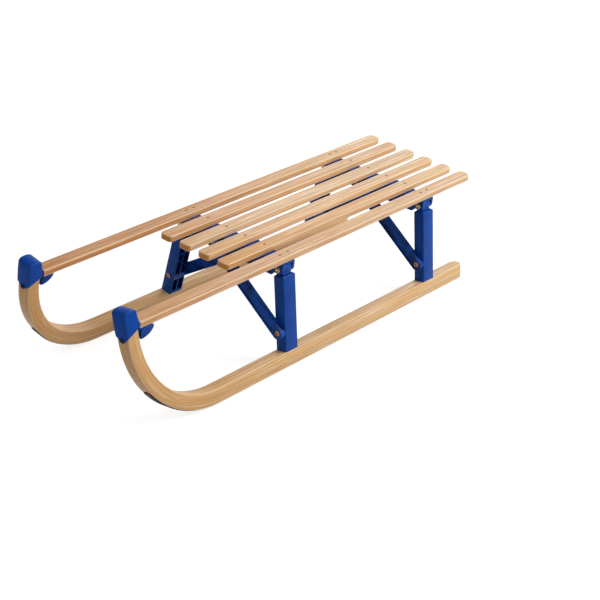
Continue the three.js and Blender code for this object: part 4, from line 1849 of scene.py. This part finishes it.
@dataclass(frozen=True)
class Lamp:
    """A soft white area lamp that looks at the middle of the sledge."""

    name: str
    place: Triple
    size: float
    power: float
    aim: Triple = (0.0, 0.0, 0.12)

    def build(self) -> None:
        """Makes the lamp."""
        data = bpy.data.lights.new(self.name, "AREA")
        data.shape = "DISK"
        data.size = self.size
        data.energy = self.power
        lamp = stand(self.name, data)
        lamp.location = self.place
        way = Vector(self.aim) - Vector(self.place)
        lamp.rotation_mode = "QUATERNION"
        lamp.rotation_quaternion = way.to_track_quat("-Z", "Y")


@dataclass(frozen=True)
class Studio:
    """The pale floor, the soft lamps and the white surroundings."""

    floor_size: float = 14.0
    floor_shade: float = 0.45
    ambient: float = 0.45
    glow: float = 0.80
    lamps: tuple[Lamp, ...] = (
        Lamp("key", (-1.35, 1.8, 1.7), 1.4, 47.0),
        Lamp("top", (-0.8, -0.1, 2.5), 2.0, 2.0),
        Lamp("back", (-1.7, -1.0, 1.1), 1.2, 5.5),
    )

    def build(self) -> None:
        """Builds the floor, the lamps, the world and the camera."""
        self._floor()
        self._world()
        for lamp in self.lamps:
            lamp.build()
        Viewpoint().build()
        bpy.context.scene.view_settings.view_transform = "Standard"

    def _floor(self) -> None:
        """A plain pale floor that takes the sledge's shadow."""
        shape = bmesh.new()
        bmesh.ops.create_grid(shape, x_segments=1, y_segments=1, size=self.floor_size / 2)
        floor = stand("floor", as_mesh(shape))
        sheet = Sheet("pale_floor")
        shade = (self.floor_shade, self.floor_shade, self.floor_shade, 1.0)
        sheet.dress(Base_Color=shade, Roughness=0.9, Specular_IOR_Level=0.0)
        seen = sheet.ray_is("Is Camera Ray", "Is Glossy Ray", "Is Transmission Ray")
        strength = sheet.maths("MULTIPLY", seen, self.glow)
        glow = sheet.make("ShaderNodeEmission", "Emission", {"Strength": strength})
        both = {0: sheet.shader.outputs["BSDF"], 1: glow}
        total = sheet.make("ShaderNodeAddShader", "Shader", both)
        sheet.wire(total, sheet.output.inputs["Surface"])
        floor.data.materials.append(sheet.material)

    def _world(self) -> None:
        """White surroundings, dimmer where they light the sledge."""
        world = bpy.data.worlds.new("studio")
        bpy.context.scene.world = world
        world.use_nodes = True
        nodes, kind = Nodes(world.node_tree), "ShaderNodeBackground"
        light, seen = [
            nodes.make(kind, "Background", {"Strength": strength, "Color": (*WHITE, 1.0)})
            for strength in (self.ambient, 1.0)
        ]
        shares = {"Fac": nodes.ray_is("Is Camera Ray", "Is Glossy Ray"), 1: light, 2: seen}
        mixed = nodes.make("ShaderNodeMixShader", "Shader", shares)
        nodes.wire(mixed, nodes.add("ShaderNodeOutputWorld").inputs["Surface"])


@dataclass
class Sledge:
    """The whole sledge, built from its sub-assemblies."""

    finishes: Finishes
    crack_off_screw: Pair = (-3.5 * MM, -7 * MM)

    def build(self) -> None:
        """Builds every sub-assembly in order."""
        for side in Side:
            self.build_slats(side)
            RunnerSide(self.finishes, side, runner_beech(side)).build()
            self.build_mouldings(side)
            Hardware(self.finishes, side).build()
        for end in ENDS:
            HingePin(end, self.finishes.zinc).build()

    def build_slats(self, side: Side) -> None:
        """Builds the three slats of one side.

        Args:
            side: The side.
        """
        trestles = [self._trestle_x(end) for end in ENDS]
        for i, (name, tone) in enumerate(SLAT_TONES_AND_LIGHT[side].items()):
            low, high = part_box(f"{name}_{side.word}")
            is_long = name == "long_slat"
            steps = (-LAYOUT.screw_spread, LAYOUT.screw_spread) if is_long else (0.0,)
            screws = [(x + step, (low.y + high.y) / 2) for x in trestles for step in steps]
            crack = None
            if (name, side) == ("outer_slat", Side.LEFT):
                ahead, aside = self.crack_off_screw
                crack = (trestles[-1] - (low.x + high.x) / 2 + ahead, aside)
            finish = Beech(seed=i + 1.5 * side.value, crack=crack, tone=tone)
            SlatBoard(self.finishes, side, name, finish, screws, is_long).build()

    def _trestle_x(self, end: str) -> float:
        """The x of the middle of the front or the rear trestle."""
        low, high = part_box(f"leg_{end}_left")
        return (low.x + high.x) / 2

    def build_mouldings(self, side: Side) -> None:
        """Builds the plastic pieces of one side.

        Args:
            side: The side.
        """
        word, below, above = side.word, side.runner_frame, side.seat_half
        blue, brace = self.finishes.plastic, self.finishes.brace
        NoseCap(self.finishes, side).build()
        shoe, slat = f"pivot_shoe_{word}", f"long_slat_{word}"
        PivotShoe(shoe, f"shoe_{word}", above, blue, 1.0 * MM, slat=slat).build()
        for end in ENDS:
            words, strut = f"{end}_{word}", f"{word}_{end}_strut"
            MouldedPiece(f"leg_{words}", f"post_{words}", below, blue, 1.2 * MM, 3).build()
            MouldedPiece(f"beam_{words}", f"bearer_{words}", above, blue).build()
            MouldedPiece(f"strut_{words}", f"brace_{words}", strut, brace).build()


def main() -> None:
    """Builds the sledge and its studio."""
    logging.basicConfig(level=logging.INFO, format="%(message)s")
    Sledge(Finishes()).build()
    Studio().build()


if __name__ == "__main__":
    main()
